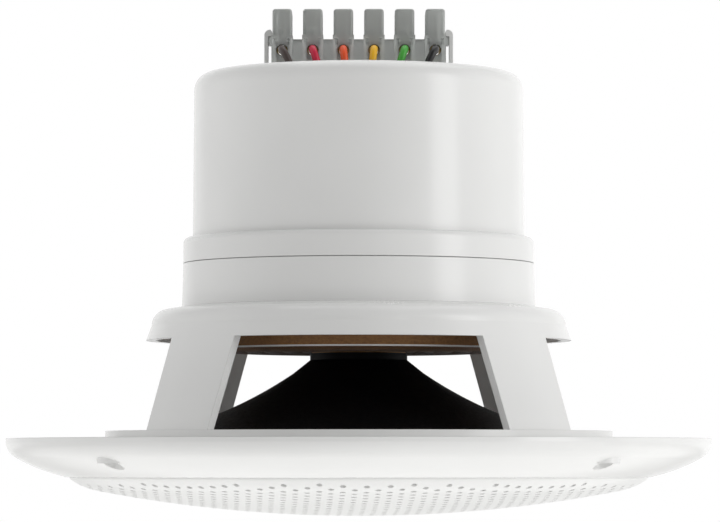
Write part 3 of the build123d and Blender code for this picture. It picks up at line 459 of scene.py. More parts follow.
FINISHES = (
    Finish("white_abs", rgb(0.86, 0.86, 0.85), rgb(0.83, 0.83, 0.82), (0.2, 0.26), relief=0.00001,
           relief_share=0.12, dust=0.1, edge_round=0.0004),
    Finish("white_grille", rgb(0.86, 0.86, 0.85), rgb(0.83, 0.83, 0.82), (0.3, 0.36), relief=0.00001,
           relief_share=0.15),
    Finish("cone_black", rgb(0.005, 0.005, 0.006), rgb(0.003, 0.003, 0.0035), (0.42, 0.55),
           effect=Effect.FIBRE_FLECK, scale=1100.0, relief=0.00006, relief_share=0.4, specular=0.1),
    Finish("surround_black", rgb(0.022, 0.022, 0.022), rgb(0.014, 0.014, 0.014), (0.5, 0.62), scale=900.0,
           relief=0.00004),
    Finish("gasket_black", rgb(0.03, 0.03, 0.03), rgb(0.018, 0.018, 0.018), (0.8, 0.95),
           effect=Effect.FIBRE_FLECK, scale=2200.0, relief=0.0001, relief_share=0.6),
    Finish("former_amber", rgb(0.5, 0.25, 0.07), rgb(0.38, 0.17, 0.04), (0.25, 0.35),
           effect=Effect.WOUND_TURNS, scale=400.0, relief=0.00002),
    Finish("copper", rgb(0.8, 0.36, 0.16), rgb(0.5, 0.19, 0.07), (0.28, 0.4), metallic=1.0,
           effect=Effect.WOUND_TURNS, scale=4200.0, relief=0.00008, relief_share=0.7),
    Finish("spider_cloth", rgb(0.22, 0.105, 0.04), rgb(0.12, 0.055, 0.02), (0.6, 0.78),
           effect=Effect.WOVEN_CLOTH, scale=1300.0, relief=0.00012, relief_share=0.6, sheen=0.15),
    Finish("ring_board", rgb(0.34, 0.165, 0.06), rgb(0.2, 0.095, 0.032), (0.65, 0.8),
           effect=Effect.FIBRE_FLECK, scale=1500.0, relief=0.00006, relief_share=0.4),
    Finish("zinc_steel", rgb(0.66, 0.66, 0.64), rgb(0.5, 0.5, 0.48), (0.28, 0.42), metallic=1.0,
           effect=Effect.BRUSHED_GRAIN, scale=2600.0, relief=0.00002),
    Finish("screw_steel", rgb(0.7, 0.69, 0.66), rgb(0.5, 0.5, 0.48), (0.22, 0.36), metallic=1.0,
           effect=Effect.BRUSHED_GRAIN, scale=4200.0, relief=0.00002),
    Finish("terminal_screw", rgb(0.72, 0.7, 0.66), rgb(0.52, 0.5, 0.46), (0.18, 0.32), metallic=1.0,
           effect=Effect.BRUSHED_GRAIN, scale=5200.0, relief=0.00002),
    Finish("ferrite", rgb(0.055, 0.055, 0.06), rgb(0.03, 0.03, 0.033), (0.45, 0.65),
           effect=Effect.FIBRE_FLECK, scale=900.0, relief=0.00005, relief_share=0.4),
    Finish("lamination", rgb(0.3, 0.3, 0.31), rgb(0.12, 0.12, 0.125), (0.35, 0.5), metallic=0.8,
           effect=Effect.WOVEN_CLOTH, scale=2000.0, relief=0.0001, relief_share=0.5),
    Finish("bobbin_nylon", rgb(0.76, 0.73, 0.62), rgb(0.68, 0.65, 0.54), (0.35, 0.48), scale=600.0,
           subsurface=0.2),
    Finish("winding_tape", rgb(0.85, 0.62, 0.08), rgb(0.68, 0.46, 0.05), (0.22, 0.36),
           effect=Effect.WOUND_TURNS, scale=320.0, relief=0.0001, relief_share=0.5),
    Finish("grommet_rubber", rgb(0.055, 0.055, 0.057), rgb(0.035, 0.035, 0.036), (0.6, 0.75), scale=1100.0,
           relief=0.00004, dust=0.25),
    Finish("clear_polyamide", rgb(0.7, 0.72, 0.7), rgb(0.62, 0.64, 0.62), (0.28, 0.38), scale=500.0,
           relief=0.00003, ior=1.53, transmission=0.55),
    Finish("brass", rgb(0.78, 0.58, 0.27), rgb(0.55, 0.38, 0.15), (0.22, 0.38), metallic=1.0,
           effect=Effect.BRUSHED_GRAIN, scale=4200.0, relief=0.00002),
    Finish("tinned_copper", rgb(0.75, 0.73, 0.7), rgb(0.55, 0.5, 0.44), (0.25, 0.4), metallic=1.0,
           effect=Effect.FIBRE_FLECK, scale=2600.0, relief=0.00005),
    Finish("wire_brown", rgb(0.075, 0.055, 0.05), rgb(0.05, 0.036, 0.032), (0.3, 0.42), scale=900.0),
    Finish("wire_red", rgb(0.62, 0.012, 0.055), rgb(0.5, 0.008, 0.04), (0.3, 0.42), scale=900.0),
    Finish("wire_orange", rgb(0.86, 0.1, 0.02), rgb(0.72, 0.075, 0.014), (0.3, 0.42), scale=900.0),
    Finish("wire_yellow", rgb(0.9, 0.5, 0.015), rgb(0.78, 0.42, 0.01), (0.3, 0.42), scale=900.0),
    Finish("wire_green", rgb(0.07, 0.42, 0.05), rgb(0.05, 0.33, 0.035), (0.3, 0.42), scale=900.0),
    Finish("wire_black", rgb(0.014, 0.014, 0.015), rgb(0.009, 0.009, 0.01), (0.3, 0.42), scale=900.0),
)


class FinishShelf:
    """Every finish, built when first asked for."""

    def __init__(self) -> None:
        """Starts with nothing built."""
        self.effects = EffectLibrary()
        self.known = {finish.name: finish for finish in FINISHES}
        self.built: dict[str, bpy.types.Material] = {}

    def get(self, name: str) -> bpy.types.Material:
        """Returns a finish's material, building it the first time.

        Args:
            name: the finish's name.

        Returns:
            The material.
        """
        if name not in self.built:
            self.built[name] = self.known[name].build(self.effects)
        return self.built[name]


# ---------------------------------------------------------------- mesh helpers
def object_from(name: str, mesh: bpy.types.Mesh) -> bpy.types.Object:
    """Links a mesh into the scene as an object at the origin.

    Args:
        name: the object's name.
        mesh: its mesh.

    Returns:
        The object.
    """
    thing = bpy.data.objects.new(name, mesh)
    bpy.context.scene.collection.objects.link(thing)
    return thing


def smooth_faces(mesh: bpy.types.Mesh, sharp_over: float = 32.0) -> None:
    """Shades a mesh smooth, with sharp edges where faces meet at a clear angle.

    Args:
        mesh: the mesh.
        sharp_over: the angle in degrees.
    """
    mesh.shade_smooth()
    mesh.set_sharp_from_angle(angle=math.radians(sharp_over))


def turned_mesh(name: str, profile: Profile, segments: int) -> bpy.types.Mesh:
    """Closed shell of revolution about Z.

    Args:
        name: the mesh's name.
        profile: closed outline as (radius, height) points in metres; points at radius 0 become poles.
        segments: steps round the axis.

    Returns:
        The mesh, with its faces pointing outwards.
    """
    shell = bmesh.new()
    rings = []
    for radius, height in profile:
        if radius < ON_AXIS:
            rings.append([shell.verts.new((0, 0, height))])
            continue
        steps = (2 * math.pi * k / segments for k in range(segments))
        rings.append([shell.verts.new((radius * math.cos(a), radius * math.sin(a), height)) for a in steps])
    for one, two in zip(rings, rings[1:] + rings[:1]):
        if len(one) == 1 and len(two) == 1:
            continue
        for k in range(segments):
            nxt = (k + 1) % segments
            corners = [one[k % len(one)], one[nxt % len(one)], two[nxt % len(two)], two[k % len(two)]]
            shell.faces.new(list(dict.fromkeys(corners)))
    bmesh.ops.recalc_face_normals(shell, faces=shell.faces)
    mesh = bpy.data.meshes.new(name)
    shell.to_mesh(mesh)
    shell.free()
    return mesh


class GeometryBench:
    """Short ways to place and join nodes in one Geometry Nodes tree."""

    def __init__(self, name: str, inputs: dict[str, tuple[str, object]]) -> None:
        """Opens a tree with named inputs.

        Args:
            name: the tree's name.
            inputs: each input's socket type, without NodeSocket, and its usual value.
        """
        self.tree = bpy.data.node_groups.new(name, "GeometryNodeTree")
        self.tree.interface.new_socket(name="Geometry", in_out="INPUT", socket_type="NodeSocketGeometry")
        for label, (kind, value) in inputs.items():
            socket = self.tree.interface.new_socket(name=label, in_out="INPUT",
                                                    socket_type="NodeSocket" + kind)
            if value is not None:
                socket.default_value = value
        self.tree.interface.new_socket(name="Geometry", in_out="OUTPUT", socket_type="NodeSocketGeometry")
        self.given = self.tree.nodes.new("NodeGroupInput")
        self.result = self.tree.nodes.new("NodeGroupOutput")

    def add(self, kind: str, links: dict[str | int, object] | None = None,
            **settings: object) -> bpy.types.Node:
        """Adds a node and feeds its inputs.

        Args:
            kind: the node's full type name.
            links: input name or number to a socket or a plain value.
            settings: properties to set on it.

        Returns:
            The node.
        """
        node = self.tree.nodes.new(kind)
        for name, value in settings.items():
            setattr(node, name, value)
        for key, value in (links or {}).items():
            if isinstance(value, bpy.types.NodeSocket):
                self.tree.links.new(value, node.inputs[key])
            else:
                node.inputs[key].default_value = value
        return node

    def maths(self, operation: str, *values: object) -> bpy.types.NodeSocket:
        """Result of a Math node on sockets or numbers."""
        return self.add("ShaderNodeMath", dict(enumerate(values)), operation=operation).outputs[0]

    def split(self, vector: object) -> tuple[bpy.types.NodeSocket, ...]:
        """The three parts of a vector."""
        return tuple(self.add("ShaderNodeSeparateXYZ", {0: vector}).outputs)

    def join(self, x: object, y: object, z: object) -> bpy.types.NodeSocket:
        """A vector from three parts."""
        return self.add("ShaderNodeCombineXYZ", {0: x, 1: y, 2: z}).outputs[0]

    def close(self, geometry: bpy.types.NodeSocket) -> None:
        """Ends the tree in Realize Instances and Set Material.

        Args:
            geometry: what comes out.
        """
        real = self.add("GeometryNodeRealizeInstances", {"Geometry": geometry})
        dressed = self.add("GeometryNodeSetMaterial",
                           {"Geometry": real.outputs[0], "Material": self.given.outputs["Finish"]})
        self.tree.links.new(dressed.outputs[0], self.result.inputs["Geometry"])

    def result_mesh(self, thing: bpy.types.Object, values: dict[str, object]) -> bpy.types.Mesh:
        """Runs the tree on an object.

        Args:
            thing: the object, which is left as it was.
            values: the tree's inputs by name.

        Returns:
            A new plain mesh of the result.
        """
        modifier = thing.modifiers.new("shape", "NODES")
        modifier.node_group = self.tree
        for item in self.tree.interface.items_tree:
            if item.item_type == "SOCKET" and item.in_out == "INPUT" and item.name in values:
                modifier[item.identifier] = values[item.name]
        bpy.context.view_layer.update()
        graph = bpy.context.evaluated_depsgraph_get()
        mesh = bpy.data.meshes.new_from_object(thing.evaluated_get(graph))
        thing.modifiers.remove(modifier)
        return mesh

    def run(self, thing: bpy.types.Object, values: dict[str, object]) -> None:
        """Runs the tree on an object and keeps the result as its plain mesh.

        Args:
            thing: the object.
            values: the tree's inputs by name.
        """
        mesh = self.result_mesh(thing, values)
        old, thing.data = thing.data, mesh
        mesh.name = thing.name
        bpy.data.meshes.remove(old)


# ---------------------------------------------------------------- grille
@dataclass
class PerforatedGrille:
    """Domed moulded front with round perforations in staggered rows, and hooks round its skirt."""

    bulge: float = 8.1 * MM
    crown_inset: float = 9.5 * MM
    bend: float = 24.0 * MM
    turn: float = 34.0
    rim_round: float = 1.3 * MM
    wall: float = 2.0 * MM
    skirt: float = 6.0 * MM
    hook_reach: float = 1.6 * MM
    hook_width: float = 8.0 * MM
    hook_height: float = 2.0 * MM
    hook_chamfer: float = 0.4 * MM
    hook_count: int = 6
    row_pitch: float = 5.4 * MM
    column_pitch: float = 3.62 * MM
    lattice_turn: float = 1.6
    hole_radius: float = 0.95 * MM
    perforated_radius: float = 91.9 * MM
    hole_sides: int = 12
    cutter_depth: float = 30.0 * MM
    spare_rows: int = 3
    segments: int = 180
    crown_steps: int = 12
    bend_steps: int = 8
    rim_steps: int = 4
    inner_step: float = 0.5 * MM
    node: str = "grille"

    def side(self, depth: float) -> Profile:
        """Points of the crown and its bend, from the axis to the rim.

        Args:
            depth: distance inside the outer skin.

        Returns:
            The points as (radius, height).
        """
        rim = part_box(self.node)[1][1]
        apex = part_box(self.node)[0][2]
        crown = rim - self.crown_inset
        ball = (crown**2 + self.bulge**2) / (2 * self.bulge)
        slope = math.asin(crown / ball)
        points = []
        for k in range(self.crown_steps + 1):
            tilt = slope * k / self.crown_steps
            points.append(((ball - depth) * math.sin(tilt),
                           apex + depth + (ball - depth) * (1 - math.cos(tilt))))
        start_r, start_z = points[-1]
        for k in range(1, self.bend_steps + 1):
            tilt = slope + (math.radians(self.turn) - slope) * k / self.bend_steps
            points.append((start_r + (self.bend - depth) * (math.sin(tilt) - math.sin(slope)),
                           start_z + (self.bend - depth) * (math.cos(slope) - math.cos(tilt))))
        return points

    def shell(self) -> bpy.types.Mesh:
        """Builds the closed dome.

        Returns:
            The mesh.
        """
        outer = self.side(0.0)
        inner = self.side(self.wall)
        end_r, end_z = outer[-1]
        first = math.radians(self.turn)
        for k in range(1, self.rim_steps + 1):
            tilt = first + (math.pi / 2 - first) * k / self.rim_steps
            outer.append((end_r + self.rim_round * (math.sin(tilt) - math.sin(first)),
                          end_z + self.rim_round * (math.cos(first) - math.cos(tilt))))
        top = outer[-1][1] + self.skirt
        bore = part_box(self.node)[1][1] - self.wall
        rim = [(outer[-1][0], top), (bore, top), (bore, inner[-1][1] + self.inner_step)]
        return turned_mesh("grille_shell", outer + rim + inner[::-1], self.segments)

    def perforate(self, thing: bpy.types.Object, finish: bpy.types.Material) -> None:
        """Cuts the holes.

        Args:
            thing: the object that holds the dome.
            finish: its material.
        """
        bench = GeometryBench("grille perforations", {
            "Row pitch": ("Float", 0.005), "Column pitch": ("Float", 0.0036), "Lattice turn": ("Float", 0.0),
            "Hole radius": ("Float", 0.001), "Perforated radius": ("Float", 0.09), "Rows": ("Int", 37),
            "Columns": ("Int", 53), "Mid height": ("Float", 0.0), "Depth": ("Float", 0.03),
            "Hole sides": ("Int", 12), "Finish": ("Material", None)})
        given = bench.given.outputs
        width = bench.maths("MULTIPLY", given["Column pitch"], bench.maths("SUBTRACT", given["Columns"], 1))
        depth = bench.maths("MULTIPLY", given["Row pitch"], bench.maths("SUBTRACT", given["Rows"], 1))
        grid = bench.add("GeometryNodeMeshGrid", {
            "Size X": width, "Size Y": depth, "Vertices X": given["Columns"], "Vertices Y": given["Rows"]})
        index = bench.add("GeometryNodeInputIndex").outputs[0]
        column = bench.maths("FLOOR", bench.maths("DIVIDE", index, given["Rows"]))
        odd = bench.maths("SUBTRACT", bench.maths("MODULO", column, 2.0), 0.5)
        shift = bench.maths("MULTIPLY", odd, bench.maths("MULTIPLY", given["Row pitch"], 0.5))
        offset = bench.join(0.0, shift, given["Mid height"])
        moved = bench.add("GeometryNodeSetPosition", {"Geometry": grid.outputs["Mesh"], "Offset": offset})
        turned = bench.add("GeometryNodeTransform", {
            "Geometry": moved.outputs[0], "Rotation": bench.join(0.0, 0.0, given["Lattice turn"])})
        x, y, _ = bench.split(bench.add("GeometryNodeInputPosition").outputs[0])
        squares = [bench.maths("MULTIPLY", part, part) for part in (x, y)]
        away = bench.maths("SQRT", bench.maths("ADD", *squares))
        outside = bench.maths("GREATER_THAN", away, given["Perforated radius"])
        kept = bench.add("GeometryNodeDeleteGeometry", {"Geometry": turned.outputs[0], "Selection": outside})
        cutter = bench.add("GeometryNodeMeshCylinder", {
            "Vertices": given["Hole sides"], "Radius": given["Hole radius"], "Depth": given["Depth"]})
        holes = bench.add("GeometryNodeInstanceOnPoints",
                          {"Points": kept.outputs[0], "Instance": cutter.outputs["Mesh"]})
        solid = bench.add("GeometryNodeRealizeInstances", {"Geometry": holes.outputs[0]})
        cut = bench.add("GeometryNodeMeshBoolean", {"Mesh 1": given["Geometry"], "Mesh 2": solid.outputs[0]},
                        operation="DIFFERENCE", solver="MANIFOLD")
        bench.close(cut.outputs["Mesh"])
        low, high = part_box(self.node)
        rows, columns = (2 * round(high[1] / pitch) + self.spare_rows
                         for pitch in (self.row_pitch, self.column_pitch))
        bench.run(thing, {
            "Row pitch": self.row_pitch, "Column pitch": self.column_pitch,
            "Lattice turn": math.radians(self.lattice_turn), "Hole radius": self.hole_radius,
            "Perforated radius": self.perforated_radius, "Rows": rows, "Columns": columns,
            "Mid height": (low[2] + high[2] - self.skirt) / 2, "Depth": self.cutter_depth,
            "Hole sides": self.hole_sides, "Finish": finish})

    def hooks(self) -> bpy.types.Mesh:
        """Builds the snap hooks.

        Returns:
            One mesh of all hooks.
        """
        _, rim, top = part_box(self.node)[1]
        half = self.hook_width / 2 / rim
        hooks = bmesh.new()
        for k in range(self.hook_count):
            angle = 2 * math.pi * k / self.hook_count
            verts = []
            for height in (top - self.hook_height, top):
                for radius in (rim - self.wall / 2, rim + self.hook_reach):
                    reach = radius - (self.hook_chamfer if height == top and radius > rim else 0.0)
                    for side in (-half, half):
                        verts.append(hooks.verts.new((reach * math.cos(angle + side),
                                                      reach * math.sin(angle + side), height)))
            for face in ((0, 1, 3, 2), (4, 6, 7, 5), (0, 2, 6, 4), (1, 5, 7, 3), (0, 4, 5, 1), (2, 3, 7, 6)):
                hooks.faces.new([verts[n] for n in face])
        bmesh.ops.recalc_face_normals(hooks, faces=hooks.faces)
        mesh = bpy.data.meshes.new("grille_hooks")
        hooks.to_mesh(mesh)
        hooks.free()
        return mesh

    def build(self, shelf: FinishShelf) -> list[bpy.types.Object]:
        """Makes the grille and its hooks.

        Args:
            shelf: the finishes.

        Returns:
            The pieces.
        """
        face = object_from("grille_face", self.shell())
        self.perforate(face, shelf.get("white_grille"))
        smooth_faces(face.data)
        clips = object_from("grille_hooks", self.hooks())
        clips.data.materials.append(shelf.get("white_grille"))
        for piece in (face, clips):
            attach(piece, SPEAKER)
            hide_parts(self.node)
        return [face, clips]


# ---------------------------------------------------------------- flexing parts of the driver
@dataclass
class RollEdge:
    """Half-roll edge of the cone, in an outer half that stays and an inner half that runs from the roll's
    lowest point to the cone's edge.
    """

    wall: float = 0.6 * MM
    roll_drop: float = 4.2 * MM
    land: float = 6.8 * MM
    lap: float = 3.0 * MM
    lap_rise: float = 1.2 * MM
    quarter_steps: int = 8
    segments: int = 144
    node: str = "surround"

    def profile(self) -> tuple[Profile, Profile]:
        """Works out both halves' middle lines.

        Returns:
            The outer line from the land to the roll's lowest point, and the inner one from there to the lap.
        """
        outer_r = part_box(self.node)[1][0]
        land_r = outer_r - self.land
        land_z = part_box("surround_gasket")[1][2] + self.wall - self.wall / 2
        cone_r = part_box("cone")[1][0]
        edge_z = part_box("cone")[0][2] - self.wall / 2
        bottom = (cone_r + land_r) / 2
        bottom_z = land_z - self.roll_drop
        turns = [math.pi / 2 * k / self.quarter_steps for k in range(1, self.quarter_steps + 1)]
        outer = [(outer_r, land_z), (land_r, land_z)]
        for turn in turns:
            outer.append((bottom + (land_r - bottom) * math.cos(turn),
                          bottom_z + (land_z - bottom_z) * (1 - math.sin(turn))))
        inner = [outer[-1]]
        for turn in turns:
            inner.append((bottom - (bottom - cone_r) * math.sin(turn),
                          bottom_z + (edge_z - bottom_z) * (1 - math.cos(turn))))
        inner.append((cone_r - self.lap, edge_z + self.lap_rise))
        return outer, inner

    def sheet(self, name: str, line: Profile, finish: bpy.types.Material) -> bpy.types.Object:
        """Turns a middle line into a thin closed ring.

        Args:
            name: the piece's name.
            line: middle line as (radius, height).
            finish: its material.

        Returns:
            The piece.
        """
        over, under = [], []
        for k, (radius, height) in enumerate(line):
            before, after = line[max(k - 1, 0)], line[min(k + 1, len(line) - 1)]
            run, rise = after[0] - before[0], after[1] - before[1]
            length = math.hypot(run, rise)
            shift = (-rise / length * self.wall / 2, run / length * self.wall / 2)
            over.append((radius + shift[0], height + shift[1]))
            under.append((radius - shift[0], height - shift[1]))
        piece = object_from(name, turned_mesh(name, over + under[::-1], self.segments))
        piece.data.materials.append(finish)
        smooth_faces(piece.data)
        return piece

    def build(self, shelf: FinishShelf) -> list[bpy.types.Object]:
        """Makes both halves.

        Args:
            shelf: the finishes.

        Returns:
            The pieces.
        """
        outer, inner = self.profile()
        finish = shelf.get("surround_black")
        fixed = self.sheet("surround_outer", outer, finish)
        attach(fixed, SPEAKER)
        moving = self.sheet("surround_inner", inner, finish)
        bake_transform(moving)
        for piece in (fixed, moving):
            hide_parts(self.node)
        return [fixed, moving]


@dataclass
class SpiderDisc:
    """Corrugated centring disc, made as one ring for each half wave."""

    waves: int = 5
    wave_height: float = 0.9 * MM
    wall: float = 0.5 * MM
    inner_flat: float = 1.0 * MM
    outer_flat: float = 5.4 * MM
    rings_per_half: int = 7
    segments: int = 120
    node: str = "spider"

    def tree(self) -> GeometryBench:
        """Builds the Geometry Nodes tree for one half wave.

        Returns:
            The tree's bench.
        """
        bench = GeometryBench("spider half wave", {
            "Inner radius": ("Float", 0.02), "Outer radius": ("Float", 0.03), "Inner height": ("Float", 0.0),
            "Outer height": ("Float", 0.0), "Rings": ("Int", 7), "Segments": ("Int", 120),
            "Finish": ("Material", None)})
        given = bench.given.outputs
        around = bench.maths("ADD", given["Segments"], 1)
        grid = bench.add("GeometryNodeMeshGrid", {"Size X": 1.0, "Size Y": 1.0, "Vertices X": given["Rings"],
                                                  "Vertices Y": around})
        x, y, _ = bench.split(bench.add("GeometryNodeInputPosition").outputs[0])
        share = bench.maths("ADD", x, 0.5)
        angle = bench.maths("MULTIPLY", y, 2 * math.pi)
        span = bench.maths("SUBTRACT", given["Outer radius"], given["Inner radius"])
        radius = bench.maths("MULTIPLY_ADD", share, span, given["Inner radius"])
        swing = bench.maths("COSINE", bench.maths("MULTIPLY", share, math.pi))
        eased = bench.maths("MULTIPLY", bench.maths("SUBTRACT", 1.0, swing), 0.5)
        climb = bench.maths("SUBTRACT", given["Outer height"], given["Inner height"])
        height = bench.maths("MULTIPLY_ADD", eased, climb, given["Inner height"])
        place = bench.join(bench.maths("MULTIPLY", radius, bench.maths("COSINE", angle)),
                           bench.maths("MULTIPLY", radius, bench.maths("SINE", angle)), height)
        shaped = bench.add("GeometryNodeSetPosition", {"Geometry": grid.outputs["Mesh"], "Position": place})
        closed = bench.add("GeometryNodeMergeByDistance", {"Geometry": shaped.outputs[0], "Distance": 1e-6})
        bench.close(closed.outputs[0])
        return bench

    def stations(self) -> list[tuple[float, float]]:
        """Radii and mid heights where one ring ends and the next begins.

        Returns:
            The stations from neck to rim.
        """
        low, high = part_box(self.node)
        middle = (low[2] + high[2]) / 2
        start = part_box("coil_former")[1][0]
        stop = high[0] - self.outer_flat
        first = start + self.inner_flat
        step = (stop - first) / (2 * self.waves)
        places = [(start, middle), (first, middle)]
        for k in range(2 * self.waves):
            sign = 1 if k % 2 else -1
            places.append((first + step * (k + 0.5), middle + sign * self.wave_height))
        places.append((stop, middle))
        places.append((high[0], middle))
        return places

    def build(self, shelf: FinishShelf) -> list[bpy.types.Object]:
        """Makes the rings; the one at the neck goes with the cone, the one at the rim with the frame, and
        those between stay where they are built.

        Args:
            shelf: the finishes.

        Returns:
            The pieces, from neck to rim.
        """
        bench = self.tree()
        finish = shelf.get("spider_cloth")
        places = self.stations()
        start, stop = places[1][0], places[-2][0]
        pieces = []
        for number, (near, far) in enumerate(zip(places, places[1:])):
            name = f"spider_ring_{number + 1:02d}"
            piece = object_from(name, bpy.data.meshes.new(name))
            bench.run(piece, {"Inner radius": near[0], "Outer radius": far[0], "Inner height": near[1],
                              "Outer height": far[1], "Rings": self.rings_per_half, "Segments": self.segments,
                              "Finish": finish})
            thicken(piece, self.wall)
            follow = [1 - min(max((r - start) / (stop - start), 0.0), 1.0) for r in (near[0], far[0])]
            self.flex(piece, follow)
            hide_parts(self.node)
            pieces.append(piece)
        return pieces

    def flex(self, piece: bpy.types.Object,
             follow: list[float]) -> None:
        """Attaches a ring lying wholly at the cone to the cone's body and one lying wholly at the rim to the
        frame's; any other ring is only baked in place.

        Args:
            piece: the ring.
            follow: the share at its inner and outer edge, 1 at the cone and 0 at the rim.
        """
        if follow == [1.0, 1.0]:
            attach(piece, DIAPHRAGM)
            return
        if follow == [0.0, 0.0]:
            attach(piece, SPEAKER)
            return
        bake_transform(piece)


def thicken(piece: bpy.types.Object, wall: float) -> None:
    """Gives an open sheet a wall, centred on it, and shades it.

    Args:
        piece: the piece.
        wall: its thickness in metres.
    """
    sheet = bmesh.new()
    sheet.from_mesh(piece.data)
    bmesh.ops.recalc_face_normals(sheet, faces=sheet.faces)
    if sum(face.normal.z for face in sheet.faces) < 0:
        bmesh.ops.reverse_faces(sheet, faces=sheet.faces)
    for vert in sheet.verts:
        vert.co.z -= wall / 2
    rim = [edge for edge in sheet.edges if edge.is_boundary]
    top = bmesh.ops.duplicate(sheet, geom=sheet.verts[:] + sheet.edges[:] + sheet.faces[:])
    copies = top["vert_map"]
    lifted_faces = {item for item in top["geom"] if isinstance(item, bmesh.types.BMFace)}
    bottom_faces = [face for face in sheet.faces if face not in lifted_faces]
    lifted = [item for item in top["geom"] if isinstance(item, bmesh.types.BMVert)]
    for vert in lifted:
        vert.co.z += wall
    bmesh.ops.reverse_faces(sheet, faces=bottom_faces)
    for edge in rim:
        one, two = edge.verts
        sheet.faces.new((one, two, copies[two], copies[one]))
    bmesh.ops.recalc_face_normals(sheet, faces=sheet.faces)
    sheet.to_mesh(piece.data)
    sheet.free()
    smooth_faces(piece.data)


@dataclass
class BraidedPair:
    """Two tinsel leads, each a loose braid of fine strands along its route from a tag to the cone."""

    strand_radius: float = 0.26 * MM
    lay_radius: float = 0.3 * MM
    strands: int = 4
    strand_sides: int = 8
    route_steps: int = 160
    twist_length: float = 4.5 * MM
    tag_x: float = 8.0 * MM
    still_end: float = 2.0 * MM
    node: str = "tinsel_leads"

    def route(self, side: int) -> list[tuple[float, float, float]]:
        """Control points of one lead.

        Args:
            side: -1 for the left lead and 1 for the right one.

        Returns:
            Points from the tag to the cone.
        """
        low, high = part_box(self.node)
        x = side * self.tag_x
        top_y = high[1] - 0.6 * MM
        end_y = low[1] + 0.1 * MM
        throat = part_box("cone")[1][2] - 6.5 * MM
        return [(x, top_y, high[2]), (x, top_y, high[2] - 3.6 * MM),
                (x, top_y - 6.0 * MM, high[2] - 8.2 * MM),
                (x, (top_y + end_y) / 2, throat - 0.3 * MM), (x, end_y + 4.2 * MM, throat + 1.9 * MM),
                (x, end_y, throat + 0.7 * MM)]

    def tree(self) -> GeometryBench:
        """Builds the tree that lays twisted strands along a curve.

        Returns:
            The tree's bench.
        """
        bench = GeometryBench("braided lead", {
            "Strand radius": ("Float", 0.0003), "Lay radius": ("Float", 0.0003), "Strands": ("Int", 4),
            "Twist length": ("Float", 0.0045), "Finish": ("Material", None)})
        given = bench.given.outputs
        fine = bench.add("GeometryNodeResampleCurve", {"Curve": given["Geometry"], "Count": self.route_steps})
        along = bench.add("GeometryNodeSplineParameter").outputs["Length"]
        turn = bench.maths("MULTIPLY", bench.maths("DIVIDE", along, given["Twist length"]), 2 * math.pi)
        twisted = bench.add("GeometryNodeSetCurveTilt", {"Curve": fine.outputs[0], "Tilt": turn})
        seats = bench.add("GeometryNodeMeshCircle",
                          {"Vertices": given["Strands"], "Radius": given["Lay radius"]})
        strand = bench.add("GeometryNodeCurvePrimitiveCircle",
                           {"Resolution": self.strand_sides, "Radius": given["Strand radius"]})
        bundle = bench.add("GeometryNodeInstanceOnPoints",
                           {"Points": seats.outputs[0], "Instance": strand.outputs["Curve"]})
        section = bench.add("GeometryNodeRealizeInstances", {"Geometry": bundle.outputs[0]})
        swept = bench.add("GeometryNodeCurveToMesh", {
            "Curve": twisted.outputs[0], "Profile Curve": section.outputs[0], "Fill Caps": True})
        bench.close(swept.outputs[0])
        return bench

    def build(self, shelf: FinishShelf) -> list[bpy.types.Object]:
        """Makes both leads.

        Args:
            shelf: the finishes.

        Returns:
            The pieces.
        """
        bench = self.tree()
        pieces = []
        for side, name in ((-1, "tinsel_lead_left"), (1, "tinsel_lead_right")):
            curve = bpy.data.curves.new(name, "CURVE")
            curve.dimensions = "3D"
            curve.resolution_u = 12
            spline = curve.splines.new("NURBS")
            points = self.route(side)
            spline.points.add(len(points) - 1)
            for point, place in zip(spline.points, points):
                point.co = (*place, 1.0)
            spline.order_u = 3
            spline.use_endpoint_u = True
            piece = self.as_mesh(curve, name, bench, shelf.get("copper"))
            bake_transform(piece)
            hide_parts(self.node)
            pieces.append(piece)
        return pieces

    def as_mesh(self, curve: bpy.types.Curve, name: str, bench: GeometryBench,
                finish: bpy.types.Material) -> bpy.types.Object:
        """Runs the tree on a curve and returns a mesh object.

        Args:
            curve: the lead's route.
            name: the piece's name.
            bench: the tree.
            finish: its material.

        Returns:
            The piece.
        """
        guide = bpy.data.objects.new(name + "_route", curve)
        bpy.context.scene.collection.objects.link(guide)
        mesh = bench.result_mesh(guide, {
            "Strand radius": self.strand_radius, "Lay radius": self.lay_radius, "Strands": self.strands,
            "Twist length": self.twist_length, "Finish": finish})
        bpy.data.objects.remove(guide)
        bpy.data.curves.remove(curve)
        piece = object_from(name, mesh)
        smooth_faces(mesh)
        return piece


# ---------------------------------------------------------------- carried-over parts
@dataclass
class CarriedParts:
    """Finishes for the parts whose shapes stay as they are."""

    record: dict[str, object]

    def build(self, nodes: dict[str, bpy.types.Object], shelf: FinishShelf) -> None:
        """Gives each part the finish of its material slot.

        Args:
            nodes: the parts by name.
            shelf: the finishes.
        """
        slots = {part["node"]: part["material_slot"] for part in self.record["subparts"]}
        for name, thing in sorted(nodes.items()):
            finish = shelf.get(slots[name])
            thing.data.materials.clear()
            thing.data.materials.append(finish)
            LOG.info("part %s: %s", name, finish.name)


